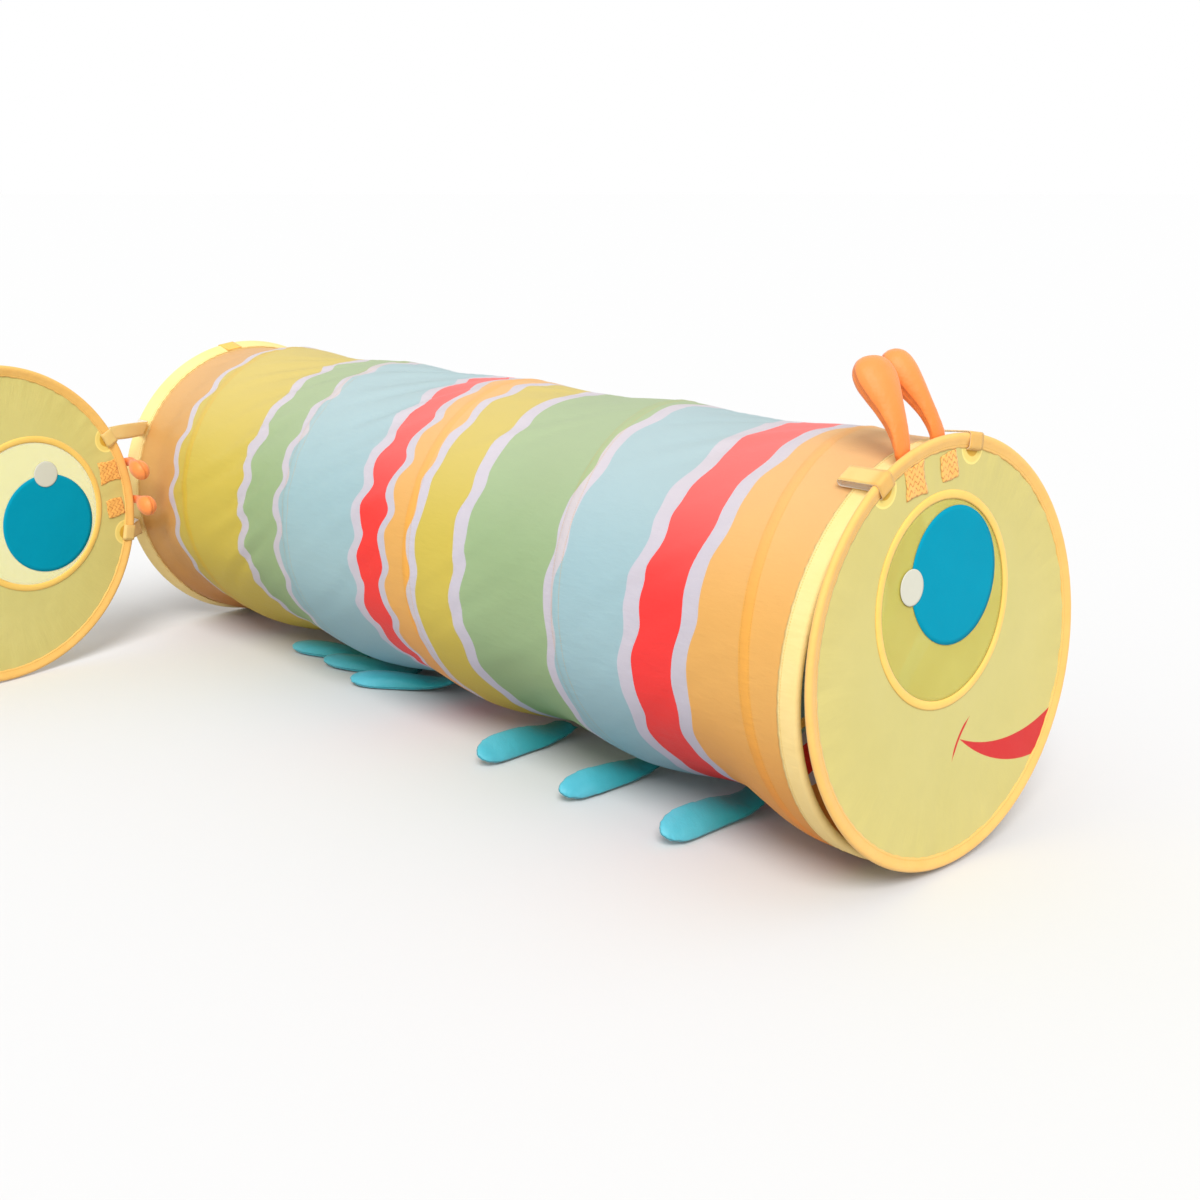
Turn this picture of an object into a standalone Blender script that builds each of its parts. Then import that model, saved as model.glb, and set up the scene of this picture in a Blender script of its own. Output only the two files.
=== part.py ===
"""Pop-up play tunnel shaped like a toy animal with many legs.

A tube of thin cloth is held open by one spiral of spring wire and by a wire hoop in the hem
of each end. Each end has a round face flap on two cloth straps: the front one hangs nearly
closed, and the rear one stands open beside the tunnel. Stuffed legs lie on the floor.

Metres, +Z up, +X along the tunnel to its front end. The origin is on the floor under the
middle of the tunnel. Angles round the tunnel run from its top towards its -Y side.
"""

import math

import bmesh
import bpy
from mathutils import Matrix, Vector

MM = 0.001

# The tunnel
TUNNEL_LENGTH = 1502 * MM
RING_RADIUS = 247.5 * MM
SIDES = 32
CLOTH = 0.8 * MM
CLEARANCE = 0.3 * MM
BAY_COUNT = 7
BAY_ROWS = 4
SKIN_SAG = 6 * MM
SLACK_SHARE = 0.1
FLOOR_ARC_SHARE = 0.9

# The spiral wire, and the cloth casing that holds it against the skin
WIRE_RADIUS = 1.5 * MM
WIRE_PITCH = 306 * MM
WIRE_LEAN = 22 * MM
FIRST_TURN_X = 681 * MM
WIRE_FIRST_ANGLE = math.radians(135)
WIRE_SWEEP_STEPS = 150
CASING_HALF_WIDTH = 8 * MM
CASING_TROUGH_HALF_WIDTH = 2.6 * MM
CASING_GAP = 0.4 * MM

# The hems and the hoops in them
HOOP_WIRE_RADIUS = 2 * MM
HOOP_WIRE_SIDES = 6
FERRULE_WALL = 0.8 * MM
FERRULE_LENGTH = 22 * MM
FERRULE_SIDES = 12
HEM_WIDTH = 22 * MM
HEM_RAMP = 14 * MM
HEM_TAB_WIDTH = 28 * MM
HEM_TAB_ANGLE = math.radians(8)

# The face flaps
FLAP_RADIUS = 250 * MM
FLAP_FLOOR_GAP = 1 * MM
FLAP_STANDOFF = 13.5 * MM
BINDING_WIDTH = 20 * MM
WINDOW_RADIUS = 119 * MM
WINDOW_UP = 66 * MM
WINDOW_BINDING_WIDTH = 10 * MM
PUPIL_RADIUS = 79 * MM
PUPIL_RIGHT = 22 * MM
PUPIL_UP = 88.5 * MM
GLINT_RADIUS = 20.5 * MM
GLINT_RIGHT = -56 * MM
GLINT_UP = 102 * MM
PATCH_THICKNESS = 0.5 * MM
ANCHOR_SIZE = 27 * MM
ANTENNA_ANGLE = math.radians(7.4)
ANTENNA_ROOT_DEPTH = 14 * MM
ANTENNA_ROOT_RADIUS = 4 * MM
ANTENNA_STALK_RADIUS = 10 * MM
ANTENNA_BULB_RADIUS = 26 * MM
ANTENNA_HEIGHT = 98 * MM
ANTENNA_LEAN = 66 * MM
ANTENNA_SIDEWAYS = {"left": 22 * MM, "right": -8 * MM}
BENT_BULB_RADIUS = 15 * MM
BENT_LENGTH = 76 * MM
BENT_DROP = 14 * MM
LIMB_SIDES = 8

# The straps that each flap hangs on
STRAP_WIDTH = 28 * MM
STRAP_THICKNESS = 1 * MM
SHARPEST_MITRE = 0.2
TWIST_STEPS = 12
STRAP_ANGLE = math.radians(20)
STRAP_ON_FACE = 30 * MM
HINGE_X = 715 * MM
HINGE_OUTSIDE = 20 * MM
FRONT_FLAP_CLOCK = math.radians(10)
FRONT_FLAP_SIDEWAYS = -12 * MM
FRONT_FLAP_OPEN = math.radians(4)
REAR_FLAP_CLOCK = math.radians(82)
REAR_HINGE_CLOCK = math.radians(90)
REAR_FLAP_OPEN = math.radians(188)

# The legs
LEG_ROOT_Y = 102 * MM
LEG_LENGTH = 112 * MM
LEG_HALF_WIDTH = 26 * MM
LEG_HALF_THICKNESS = 12 * MM
LEG_ROLL = math.radians(42)
FLOOR_GAP = 0.5 * MM
FRONT_LEG_X = 540 * MM
FRONT_LEG_SPACING = 190 * MM
FRONT_LEG_LEANS = (math.radians(6), math.radians(1), math.radians(-1))
REAR_LEG_X = -90 * MM
REAR_LEG_SPACING = 100 * MM
REAR_LEG_LEANS = (math.radians(56), math.radians(58), math.radians(58))

FULL_TURN = 2 * math.pi
QUARTER_TURN = math.pi / 2
HALF_LENGTH = TUNNEL_LENGTH / 2
STEP = FULL_TURN / SIDES
AXIS_HEIGHT = RING_RADIUS * math.cos(STEP / 2)
HEM_EDGE = HALF_LENGTH - HEM_WIDTH
CAVITY_RADIUS = HOOP_WIRE_RADIUS + FERRULE_WALL + 2 * CLEARANCE
SKIN_END = HALF_LENGTH - CLOTH - 2 * CAVITY_RADIUS - CLEARANCE
TURN_ABOUT_X = Matrix(((0, 0, 1, 0), (0, 1, 0, 0), (-1, 0, 0, 0), (0, 0, 0, 1)))

# Along a leg: shares of its length, half width, half thickness and roll
LEG_PROFILE_SHARES = (
    (0.00, 0.70, 0.46, 0.00),
    (0.18, 0.72, 0.66, 0.20),
    (0.36, 0.78, 0.82, 0.52),
    (0.58, 0.90, 0.94, 0.84),
    (0.78, 1.00, 1.00, 1.00),
    (0.92, 0.84, 0.80, 1.00),
    (1.00, 0.42, 0.42, 1.00),
)


def clear_scene():
    """Remove every object that the open file holds."""
    for leftover in list(bpy.data.objects):
        bpy.data.objects.remove(leftover, do_unlink=True)


def new_collection(name):
    collection = bpy.data.collections.new(name)
    bpy.context.scene.collection.children.link(collection)
    return collection


clear_scene()
PARTS = new_collection("play_tunnel")


def material(name, colour, roughness, metallic=0.0, alpha=1.0):
    """A plain material of one colour, made once for each name."""
    made = bpy.data.materials.get(name)
    if made is None:
        made = bpy.data.materials.new(name)
        made.use_nodes = True
        shader = made.node_tree.nodes["Principled BSDF"]
        shader.inputs["Base Color"].default_value = (*colour, 1.0)
        shader.inputs["Roughness"].default_value = roughness
        shader.inputs["Metallic"].default_value = metallic
        shader.inputs["Alpha"].default_value = alpha
    return made


def yellow_cloth():
    return material("yellow_cloth", (0.80, 0.62, 0.16), 0.6)


def lemon_cloth():
    return material("lemon_cloth", (0.80, 0.74, 0.25), 0.6)


def orange_cloth():
    return material("orange_cloth", (0.86, 0.45, 0.13), 0.6)


def teal_cloth():
    return material("teal_cloth", (0.05, 0.48, 0.58), 0.6)


def spring_steel():
    return material("spring_steel", (0.55, 0.56, 0.58), 0.3, metallic=1.0)


def sleeve_steel():
    return material("sleeve_steel", (0.62, 0.60, 0.56), 0.4, metallic=1.0)


def add_part(name, mesh, finish, placed=None):
    """Put a mesh into the model as one named sub-part."""
    part = bpy.data.objects.new(name, mesh)
    part.data.materials.clear()
    part.data.materials.append(finish)
    PARTS.objects.link(part)
    if placed is not None:
        part.matrix_world = placed
    return part


def smooth(part, sharp_degrees=35):
    part.data.shade_smooth()
    part.data.set_sharp_from_angle(angle=math.radians(sharp_degrees))


def mesh_from(name, shape):
    mesh = bpy.data.meshes.new(name)
    shape.to_mesh(mesh)
    shape.free()
    return mesh


def loft_mesh(name, sections, closed_ends):
    """Join sections with the same number of points by quads, and cap the ends if asked."""
    shape = bmesh.new()
    rings = [[shape.verts.new(point) for point in section] for section in sections]
    for ring, following in zip(rings, rings[1:]):
        for k, corner in enumerate(ring):
            after = (k + 1) % len(ring)
            shape.faces.new((corner, ring[after], following[after], following[k]))
    if closed_ends:
        shape.faces.new(list(reversed(rings[0])))
        shape.faces.new(rings[-1])
        if shape.calc_volume(signed=True) < 0:
            bmesh.ops.reverse_faces(shape, faces=shape.faces)
    return mesh_from(name, shape)


def signed_area(profile):
    """Positive where the corners run anticlockwise."""
    pairs = zip(profile, profile[1:] + profile[:1])
    return sum(a[0] * b[1] - b[0] * a[1] for a, b in pairs) / 2


def turned(name, profile, finish, placed):
    """Turn a closed profile of (distance along the axis, radius) once round the axis."""
    profile = list(profile)
    if signed_area(profile) < 0:
        profile.reverse()
    shape = bmesh.new()
    corners = [shape.verts.new((radius, 0, along)) for along, radius in profile]
    for corner, following in zip(corners, corners[1:] + corners[:1]):
        shape.edges.new((corner, following))
    part = add_part(name, mesh_from(name, shape), finish, placed)
    turn = part.modifiers.new("Turn", "SCREW")
    turn.steps = SIDES
    turn.render_steps = SIDES
    turn.use_merge_vertices = True
    turn.merge_threshold = 0.1 * CLEARANCE
    return part


def at_ring(angle, radius, x):
    """The point at this angle and radius round the tunnel's axis."""
    return Vector((x, -radius * math.sin(angle), AXIS_HEIGHT + radius * math.cos(angle)))


def along_ring(angle):
    """The direction round the tunnel's axis, at an angle from its top."""
    return Vector((0, -math.cos(angle), -math.sin(angle)))


def about_x(x):
    """Where a turned piece goes: its axis along X, with the middle of a flat side below."""
    return Matrix.Translation((x, 0, AXIS_HEIGHT)) @ Matrix.Rotation(STEP / 2, 4, "X") @ TURN_ABOUT_X


def turn_x(angle):
    """Where the spiral wire lies along the tunnel, at an angle that grows turn by turn."""
    climbed = WIRE_PITCH * (angle - QUARTER_TURN) / FULL_TURN
    return FIRST_TURN_X + climbed + WIRE_LEAN * math.cos(angle)


def skin_radius(x, angle):
    """The skin is full over each turn of wire, drawn in between turns, and flat below."""
    between_turns = math.sin(math.pi * (x - turn_x(angle)) / WIRE_PITCH) ** 2
    drawn_in = max(0, between_turns - SLACK_SHARE) / (1 - SLACK_SHARE)
    off_floor = max(0, math.cos(angle) + FLOOR_ARC_SHARE) / (1 + FLOOR_ARC_SHARE)
    near_hem = min(1, max(0, (abs(x) - HEM_EDGE + HEM_RAMP) / HEM_RAMP))
    under_hem = near_hem * (CLOTH + CLEARANCE)
    return RING_RADIUS - under_hem - (1 - near_hem) * SKIN_SAG * drawn_in * off_floor


def bay_length():
    return TUNNEL_LENGTH / BAY_COUNT


def skin_bay(number):
    """One length of the skin, as a thin tube that follows the spiral."""
    front = HALF_LENGTH - (number - 1) * bay_length() - CLEARANCE / 2
    rear = front - bay_length() + CLEARANCE
    rows = [front + (rear - front) * row / BAY_ROWS for row in range(BAY_ROWS + 1)]
    if number == 1:
        rows = [SKIN_END, HEM_EDGE, HEM_EDGE - HEM_RAMP] + rows[1:]
    if number == BAY_COUNT:
        rows = rows[:-1] + [HEM_RAMP - HEM_EDGE, -HEM_EDGE, -SKIN_END]
    angles = [(0.5 - k) * STEP for k in range(SIDES)]
    sections = [[at_ring(angle, skin_radius(x, angle), x) for angle in angles] for x in rows]
    name = f"skin_bay_{number}"
    finish = orange_cloth() if number in (1, BAY_COUNT) else lemon_cloth()
    part = add_part(name, loft_mesh(name, sections, closed_ends=False), finish)
    wall = part.modifiers.new("Wall", "SOLIDIFY")
    wall.thickness = CLOTH
    wall.offset = -1
    smooth(part)
    return part


def spiral_angles():
    """Angles of the spiral's points, at the same places round the tunnel as the skin's."""
    return [WIRE_FIRST_ANGLE + STEP / 2 - step * STEP for step in range(WIRE_SWEEP_STEPS)]


def spiral_wire():
    """The spring wire, one unbroken spiral close inside the skin."""
    radius = RING_RADIUS - CLOTH - CLEARANCE - WIRE_RADIUS / math.cos(math.pi / HOOP_WIRE_SIDES)
    route = [at_ring(angle, radius, turn_x(angle)) for angle in spiral_angles()]
    curve = bpy.data.curves.new("spiral_wire", "CURVE")
    curve.dimensions = "3D"
    curve.bevel_depth = WIRE_RADIUS
    curve.bevel_resolution = 1
    curve.render_resolution_u = 0
    curve.use_fill_caps = True
    spline = curve.splines.new("POLY")
    spline.points.add(len(route) - 1)
    for point, place in zip(spline.points, route):
        point.co = (*place, 1)
    part = bpy.data.objects.new("spiral_wire", curve)
    curve.materials.append(spring_steel())
    PARTS.objects.link(part)
    print("least gap between turns of the spiral wire, metres:", least_gap(route))
    return part


def least_gap(route):
    """The least gap between the wire and its own next turn."""
    per_turn = SIDES
    pairs = zip(route, route[per_turn:])
    return round(min((a - b).length for a, b in pairs) - 2 * WIRE_RADIUS, 4)


def spiral_casing():
    """The cloth tape sewn inside the skin, with a trough in which the wire runs."""
    outer = RING_RADIUS - CLOTH - CASING_GAP
    depth = CLEARANCE + 2 * WIRE_RADIUS / math.cos(math.pi / HOOP_WIRE_SIDES)
    trough = RING_RADIUS - CLOTH - CLEARANCE - depth
    profile = (
        (-CASING_HALF_WIDTH, outer),
        (-CASING_TROUGH_HALF_WIDTH, trough),
        (CASING_TROUGH_HALF_WIDTH, trough),
        (CASING_HALF_WIDTH, outer),
        (CASING_HALF_WIDTH, outer - CLOTH),
        (CASING_TROUGH_HALF_WIDTH, trough - CLOTH),
        (-CASING_TROUGH_HALF_WIDTH, trough - CLOTH),
        (-CASING_HALF_WIDTH, outer - CLOTH),
    )
    sections = [
        [at_ring(angle, radius, turn_x(angle) + along) for along, radius in profile]
        for angle in spiral_angles()
    ]
    mesh = loft_mesh("spiral_casing", sections, closed_ends=True)
    return add_part("spiral_casing", mesh, yellow_cloth())


def hoop(name, ring_radius, finish, placed):
    """A closed ring of round wire."""
    bpy.ops.mesh.primitive_torus_add(
        major_segments=SIDES,
        minor_segments=HOOP_WIRE_SIDES,
        major_radius=ring_radius,
        minor_radius=HOOP_WIRE_RADIUS,
    )
    made = bpy.context.object
    mesh = made.data
    bpy.data.objects.remove(made)
    mesh.name = name
    part = add_part(name, mesh, finish, placed)
    part.data.shade_smooth()
    return part


def ferrule(name, placed):
    """The short sleeve crimped over the joint of a hoop, along its own Z axis."""
    inner = HOOP_WIRE_RADIUS + CLEARANCE
    outer = inner + FERRULE_WALL
    half = FERRULE_LENGTH / 2
    profile = ((-half, inner), (half, inner), (half, outer), (-half, outer))
    part = turned(name, profile, sleeve_steel(), placed)
    part.modifiers["Turn"].steps = FERRULE_SIDES
    part.modifiers["Turn"].render_steps = FERRULE_SIDES
    return part


def hem(name, facing):
    """The end hem: cloth folded round the hoop, with the skin's edge between its plies."""
    outside = RING_RADIUS
    end = HALF_LENGTH
    inside = RING_RADIUS - 2 * CLOTH - 2 * CAVITY_RADIUS
    cavity_edge = SKIN_END - 2 * CLOTH
    lip = RING_RADIUS - 2 * CLOTH - 2 * CLEARANCE
    profile = (
        (HEM_EDGE, outside),
        (end, outside),
        (end, inside),
        (cavity_edge, inside),
        (HEM_EDGE, lip - CLOTH),
        (HEM_EDGE, lip),
        (cavity_edge, inside + CLOTH),
        (end - CLOTH, inside + CLOTH),
        (end - CLOTH, outside - CLOTH),
        (HEM_EDGE, outside - CLOTH),
    )
    facing_profile = [(facing * along, radius) for along, radius in profile]
    return turned(name, facing_profile, yellow_cloth(), about_x(0))


def end_ring(end_name, facing):
    """The hoop, its ferrule and its hem at one end of the tunnel."""
    centre_radius = RING_RADIUS - CLOTH - CAVITY_RADIUS
    centre_x = facing * (HALF_LENGTH - CLOTH - CAVITY_RADIUS)
    ring = hoop(f"{end_name}_hoop", centre_radius, spring_steel(), about_x(centre_x))
    below = AXIS_HEIGHT - centre_radius * math.cos(STEP / 2)
    sideways = Matrix.Translation((centre_x, 0, below)) @ Matrix.Rotation(QUARTER_TURN, 4, "X")
    sleeve = ferrule(f"{end_name}_hoop_ferrule", sideways)
    return [ring, sleeve, hem(f"{end_name}_hem", facing)]


def strap_mesh(name, route, width, thickness):
    """A flat strap along a route of (place, direction of its width) stations."""
    sections = []
    places = [place for place, _ in route]
    for k, (place, across) in enumerate(route):
        half_width = across.normalized() * width / 2
        before = (place - places[max(k - 1, 0)]).normalized()
        after = (places[min(k + 1, len(places) - 1)] - place).normalized()
        outward = (before + after).cross(half_width).normalized()
        turn = before.dot(after) if 0 < k < len(places) - 1 else 1.0
        mitre = outward * thickness / math.sqrt(2 * (1 + turn) + SHARPEST_MITRE)
        sections.append(
            [
                place - half_width - mitre,
                place + half_width - mitre,
                place + half_width + mitre,
                place - half_width + mitre,
            ]
        )
    return loft_mesh(name, sections, closed_ends=True)


def twisted(start, end, steps):
    """The stations between two others, so that a strap twists evenly from one to the next."""
    made = []
    for step in range(1, steps):
        share = step / steps
        made.append((start[0].lerp(end[0], share), start[1].lerp(end[1], share)))
    return made


def hem_tab():
    """The short cloth tab folded over the rear hem near its top."""
    lift = CLEARANCE + STRAP_THICKNESS / 2
    radius = RING_RADIUS + lift
    end = HALF_LENGTH + lift
    inner = RING_RADIUS - HEM_WIDTH / 2
    across = along_ring(HEM_TAB_ANGLE)
    route = [
        (at_ring(HEM_TAB_ANGLE, radius, -HEM_EDGE), across),
        (at_ring(HEM_TAB_ANGLE, radius, -end), across),
        (at_ring(HEM_TAB_ANGLE, inner, -end), across),
    ]
    mesh = strap_mesh("rear_hem_tab", route, HEM_TAB_WIDTH, STRAP_THICKNESS)
    return add_part("rear_hem_tab", mesh, orange_cloth())


def flap_frame(facing, clock, sideways):
    """A closed flap's own frame: X out of its face, Z to its straps, origin at its centre."""
    out = Vector((facing, 0, 0))
    up = Vector((0, -math.sin(clock), math.cos(clock)))
    right = up.cross(out)
    centre = (facing * (HALF_LENGTH + FLAP_STANDOFF), sideways, FLAP_RADIUS + FLAP_FLOOR_GAP)
    turn = Matrix((out, right, up)).transposed().to_4x4()
    return Matrix.Translation(centre) @ turn


def hinge_at(facing, clock):
    """A point on a flap's hinge line, and the line's direction: positive turns open it."""
    place = at_ring(clock, RING_RADIUS + HINGE_OUTSIDE, facing * HINGE_X)
    direction = Vector((0, math.cos(clock), math.sin(clock))) * -facing
    return place, direction


def swung(angle, place, direction):
    """The turn of a rigid piece about a hinge line."""
    there = Matrix.Translation(place)
    return there @ Matrix.Rotation(angle, 4, direction) @ there.inverted()


def in_flap(out, right, up):
    """A point given in a flap's own directions."""
    return Vector((out, right, up))


def on_rim(angle, radius):
    """Right and up of a point on a flap, at an angle from its top."""
    return radius * math.sin(angle), radius * math.cos(angle)


def flap_turn(frame):
    """Where a piece turned about a flap's own centre line goes."""
    return frame @ Matrix.Rotation(STEP / 2, 4, "X") @ TURN_ABOUT_X


def flap_binding(name, frame):
    """The cloth binding folded round the flap's hoop and over the edge of its panel."""
    half = CAVITY_RADIUS + CLOTH
    slit = CLOTH / 2 + CLEARANCE
    shoulder = FLAP_RADIUS - 2 * CAVITY_RADIUS - CLOTH
    edge = FLAP_RADIUS - BINDING_WIDTH
    outer_half = (
        (slit + CLOTH, edge),
        (half, shoulder),
        (half, FLAP_RADIUS),
    )
    inner_half = (
        (CAVITY_RADIUS, FLAP_RADIUS - CLOTH),
        (CAVITY_RADIUS, shoulder),
        (slit, edge),
    )
    mirrored_outer = [(-out, radius) for out, radius in reversed(outer_half)]
    mirrored_inner = [(-out, radius) for out, radius in reversed(inner_half)]
    profile = list(outer_half) + mirrored_outer + mirrored_inner + list(inner_half)
    return turned(name, profile, yellow_cloth(), flap_turn(frame))


def ring_points(radius, count=SIDES):
    return [
        (radius * math.cos(angle), radius * math.sin(angle))
        for angle in [(k + 0.5) * FULL_TURN / count for k in range(count)]
    ]


def sheet_of(name, outlines, thickness, finish, placed):
    """A flat sheet with straight sides from one or more outlines: the first is its edge."""
    curve = bpy.data.curves.new(name, "CURVE")
    curve.dimensions = "2D"
    curve.fill_mode = "BOTH"
    curve.extrude = thickness / 2
    curve.render_resolution_u = 0
    for outline in outlines:
        spline = curve.splines.new("POLY")
        spline.points.add(len(outline) - 1)
        for point, (across, along) in zip(spline.points, outline):
            point.co = (across, along, 0, 1)
        spline.use_cyclic_u = True
    part = bpy.data.objects.new(name, curve)
    curve.materials.append(finish)
    PARTS.objects.link(part)
    part.matrix_world = placed
    return part


def flat_on_flap(frame, out, right, up):
    """Where a flat sheet goes: its X to the flap's right, its Y up, its Z out of the face."""
    axes = Matrix(((0, 0, 1, 0), (1, 0, 0, 0), (0, 1, 0, 0), (0, 0, 0, 1)))
    return frame @ Matrix.Translation(in_flap(out, right, up)) @ axes


def flap_panel(name, frame):
    """The face cloth, with the round hole of the window."""
    edge = ring_points(FLAP_RADIUS - CLOTH - 2 * CAVITY_RADIUS - CLEARANCE)
    hole = [(across, along + WINDOW_UP) for across, along in ring_points(WINDOW_RADIUS)]
    placed = flat_on_flap(frame, 0, 0, 0)
    return sheet_of(name, (edge, hole), CLOTH, lemon_cloth(), placed)


def window_pieces(end_name, frame):
    """The see-through window, its binding, and the pupil and glint bonded on it."""
    clear_net = material("window_net", (0.75, 0.75, 0.45), 0.5, alpha=0.35)
    blue_cloth = material("blue_cloth", (0.0, 0.40, 0.60), 0.55)
    white_cloth = material("white_cloth", (0.80, 0.78, 0.70), 0.55)
    net_radius = WINDOW_RADIUS - CLEARANCE
    net_at = flat_on_flap(frame, 0, 0, WINDOW_UP)
    net = sheet_of(f"{end_name}_window", [ring_points(net_radius)], CLOTH, clear_net, net_at)

    below = CLOTH / 2 + CLEARANCE
    inner = WINDOW_RADIUS - WINDOW_BINDING_WIDTH / 2
    outer = WINDOW_RADIUS + WINDOW_BINDING_WIDTH / 2
    profile = ((below, inner), (below, outer), (below + CLOTH, outer), (below + CLOTH, inner))
    centre = frame @ Matrix.Translation(in_flap(0, 0, WINDOW_UP))
    trim = turned(f"{end_name}_window_binding", profile, yellow_cloth(), flap_turn(centre))

    pupil_out = below + PATCH_THICKNESS / 2
    pupil_at = flat_on_flap(frame, pupil_out, PUPIL_RIGHT, PUPIL_UP)
    pupil_edge = [ring_points(PUPIL_RADIUS)]
    pupil = sheet_of(f"{end_name}_pupil", pupil_edge, PATCH_THICKNESS, blue_cloth, pupil_at)
    glint_out = pupil_out + PATCH_THICKNESS + CLEARANCE
    glint_at = flat_on_flap(frame, glint_out, GLINT_RIGHT, GLINT_UP)
    glint_edge = [ring_points(GLINT_RADIUS, SIDES // 2)]
    glint = sheet_of(f"{end_name}_glint", glint_edge, PATCH_THICKNESS, white_cloth, glint_at)
    return [net, trim, pupil, glint]


def rounded_section(half_width, half_thickness, across, through):
    """The corners of a stuffed limb's section, from its centre."""
    angles = [(k + 0.5) * FULL_TURN / LIMB_SIDES for k in range(LIMB_SIDES)]
    widths = [across * half_width * math.cos(angle) for angle in angles]
    depths = [through * half_thickness * math.sin(angle) for angle in angles]
    return [sideways + upward for sideways, upward in zip(widths, depths)]


def stuffed(name, stations, finish, placed=None):
    """A stuffed limb through stations of (centre, corners of its section)."""
    sections = [[centre + corner for corner in corners] for centre, corners in stations]
    part = add_part(name, loft_mesh(name, sections, closed_ends=True), finish, placed)
    smooth(part, sharp_degrees=60)
    return part


# Along a feeler: shares of its reach out or back, of its height or drop, and of its bulb
BENT_ROUTE_SHARES = (
    (-1.00, 0.14, 0.00),
    (-0.03, 0.50, 0.33),
    (0.17, 0.43, 0.40),
    (0.32, 0.00, 0.60),
    (0.55, -0.57, 0.90),
    (0.82, -0.86, 1.00),
    (1.00, -1.00, 0.47),
)
STANDING_ROUTE_SHARES = (
    (0.28, 0.27, 0.38),
    (0.48, 0.50, 0.58),
    (0.72, 0.73, 0.90),
    (0.87, 0.87, 0.92),
    (1.00, 1.00, 0.44),
)


def antenna_route(bent_forward):
    """Out, up and radius of a feeler from its seam behind the binding to its round tip.

    It stands up and leans back over the tunnel, or is bent forward where the flap stands
    open against the tunnel's side.
    """
    flat = ANTENNA_ROOT_RADIUS
    back = -(CAVITY_RADIUS + CLOTH + CLEARANCE + flat)
    route = [(back, FLAP_RADIUS - ANTENNA_ROOT_DEPTH, flat)]
    if bent_forward:
        for out_share, up_share, radius_share in BENT_ROUTE_SHARES:
            out = max(back, BENT_LENGTH * out_share)
            up = FLAP_RADIUS + BENT_DROP * up_share
            route.append((out, up, max(flat, BENT_BULB_RADIUS * radius_share)))
        return route
    route.append((back, FLAP_RADIUS + flat, flat))
    for out_share, up_share, radius_share in STANDING_ROUTE_SHARES:
        out = -ANTENNA_LEAN * out_share
        up = FLAP_RADIUS + ANTENNA_HEIGHT * up_share
        route.append((out, up, ANTENNA_BULB_RADIUS * radius_share))
    return route


def antenna(name, angle, frame, sideways, bent_forward):
    """One stuffed feeler, sewn behind the top of the binding; its tip has sunk sideways."""
    stations = []
    route = antenna_route(bent_forward)
    sunk = [0 if bent_forward else max(0, up - FLAP_RADIUS) / ANTENNA_HEIGHT for _, up, _ in route]
    places = [
        in_flap(out, sideways * share * share, up)
        for (out, up, _), share in zip(route, sunk)
    ]
    across = in_flap(0, 1, 0)
    for k, (_, _, radius) in enumerate(route):
        along = places[min(k + 1, len(places) - 1)] - places[max(k - 1, 0)]
        through = along.cross(across).normalized()
        half_width = max(radius, ANTENNA_STALK_RADIUS)
        stations.append((places[k], rounded_section(half_width, radius, across, through)))
    turn = Matrix.Rotation(-angle, 4, "X")
    return stuffed(name, stations, orange_cloth(), frame @ turn)


def antenna_anchor(name, angle, frame):
    """The square of cloth sewn on the face where a feeler is fixed."""
    outer = (FLAP_RADIUS - BINDING_WIDTH) * math.cos(STEP / 2) - PATCH_THICKNESS
    turn = Matrix.Rotation(-angle, 4, "X")
    half = ANCHOR_SIZE / 2
    square = [(-half, -half), (half, -half), (half, half), (-half, half)]
    out = CLOTH / 2 + CLEARANCE + PATCH_THICKNESS / 2
    placed = flat_on_flap(frame @ turn, out, 0, outer - half)
    return sheet_of(name, [square], PATCH_THICKNESS, orange_cloth(), placed)


def strap_face_points(angle):
    """The strap's lower end: sewn down the face, over the rim and past it, in the flap's frame."""
    lift = CAVITY_RADIUS + CLOTH + CLEARANCE + STRAP_THICKNESS / 2
    over = FLAP_RADIUS + CLEARANCE + STRAP_THICKNESS
    points = []
    for out, radius in (
        (lift, FLAP_RADIUS - STRAP_ON_FACE),
        (lift, over),
        (-lift, over),
    ):
        right, up = on_rim(angle, radius)
        points.append(in_flap(out, right, up))
    return points


def straps(end_name, facing, clock, at_rest, folded):
    """The two straps of a flap: each is sewn on the hem, and over the flap's rim."""
    made = []
    ply = CLEARANCE + STRAP_THICKNESS / 2
    for side, sign in (("left", -1), ("right", 1)):
        angle = sign * STRAP_ANGLE
        ring_angle = clock - facing * angle
        on_ring = along_ring(ring_angle)
        hem_end = facing * (HALF_LENGTH - CLEARANCE)
        fold = facing * HINGE_X
        route = [(at_ring(ring_angle, RING_RADIUS + ply, hem_end), on_ring)]
        route.append((at_ring(ring_angle, RING_RADIUS + ply, fold), on_ring))
        if folded:
            upper = RING_RADIUS + ply + 2 * STRAP_THICKNESS
            route.append((at_ring(ring_angle, upper, fold), on_ring))
        on_face = at_rest.to_3x3() @ in_flap(0, -math.cos(angle), math.sin(angle)) * facing
        over_rim = [(at_rest @ point, on_face) for point in reversed(strap_face_points(angle))]
        if not folded:
            route += twisted(route[-1], over_rim[0], TWIST_STEPS)
        route += over_rim
        name = f"{end_name}_flap_strap_{side}"
        mesh = strap_mesh(name, route, STRAP_WIDTH, STRAP_THICKNESS)
        made.append(add_part(name, mesh, yellow_cloth()))
    return made


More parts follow.
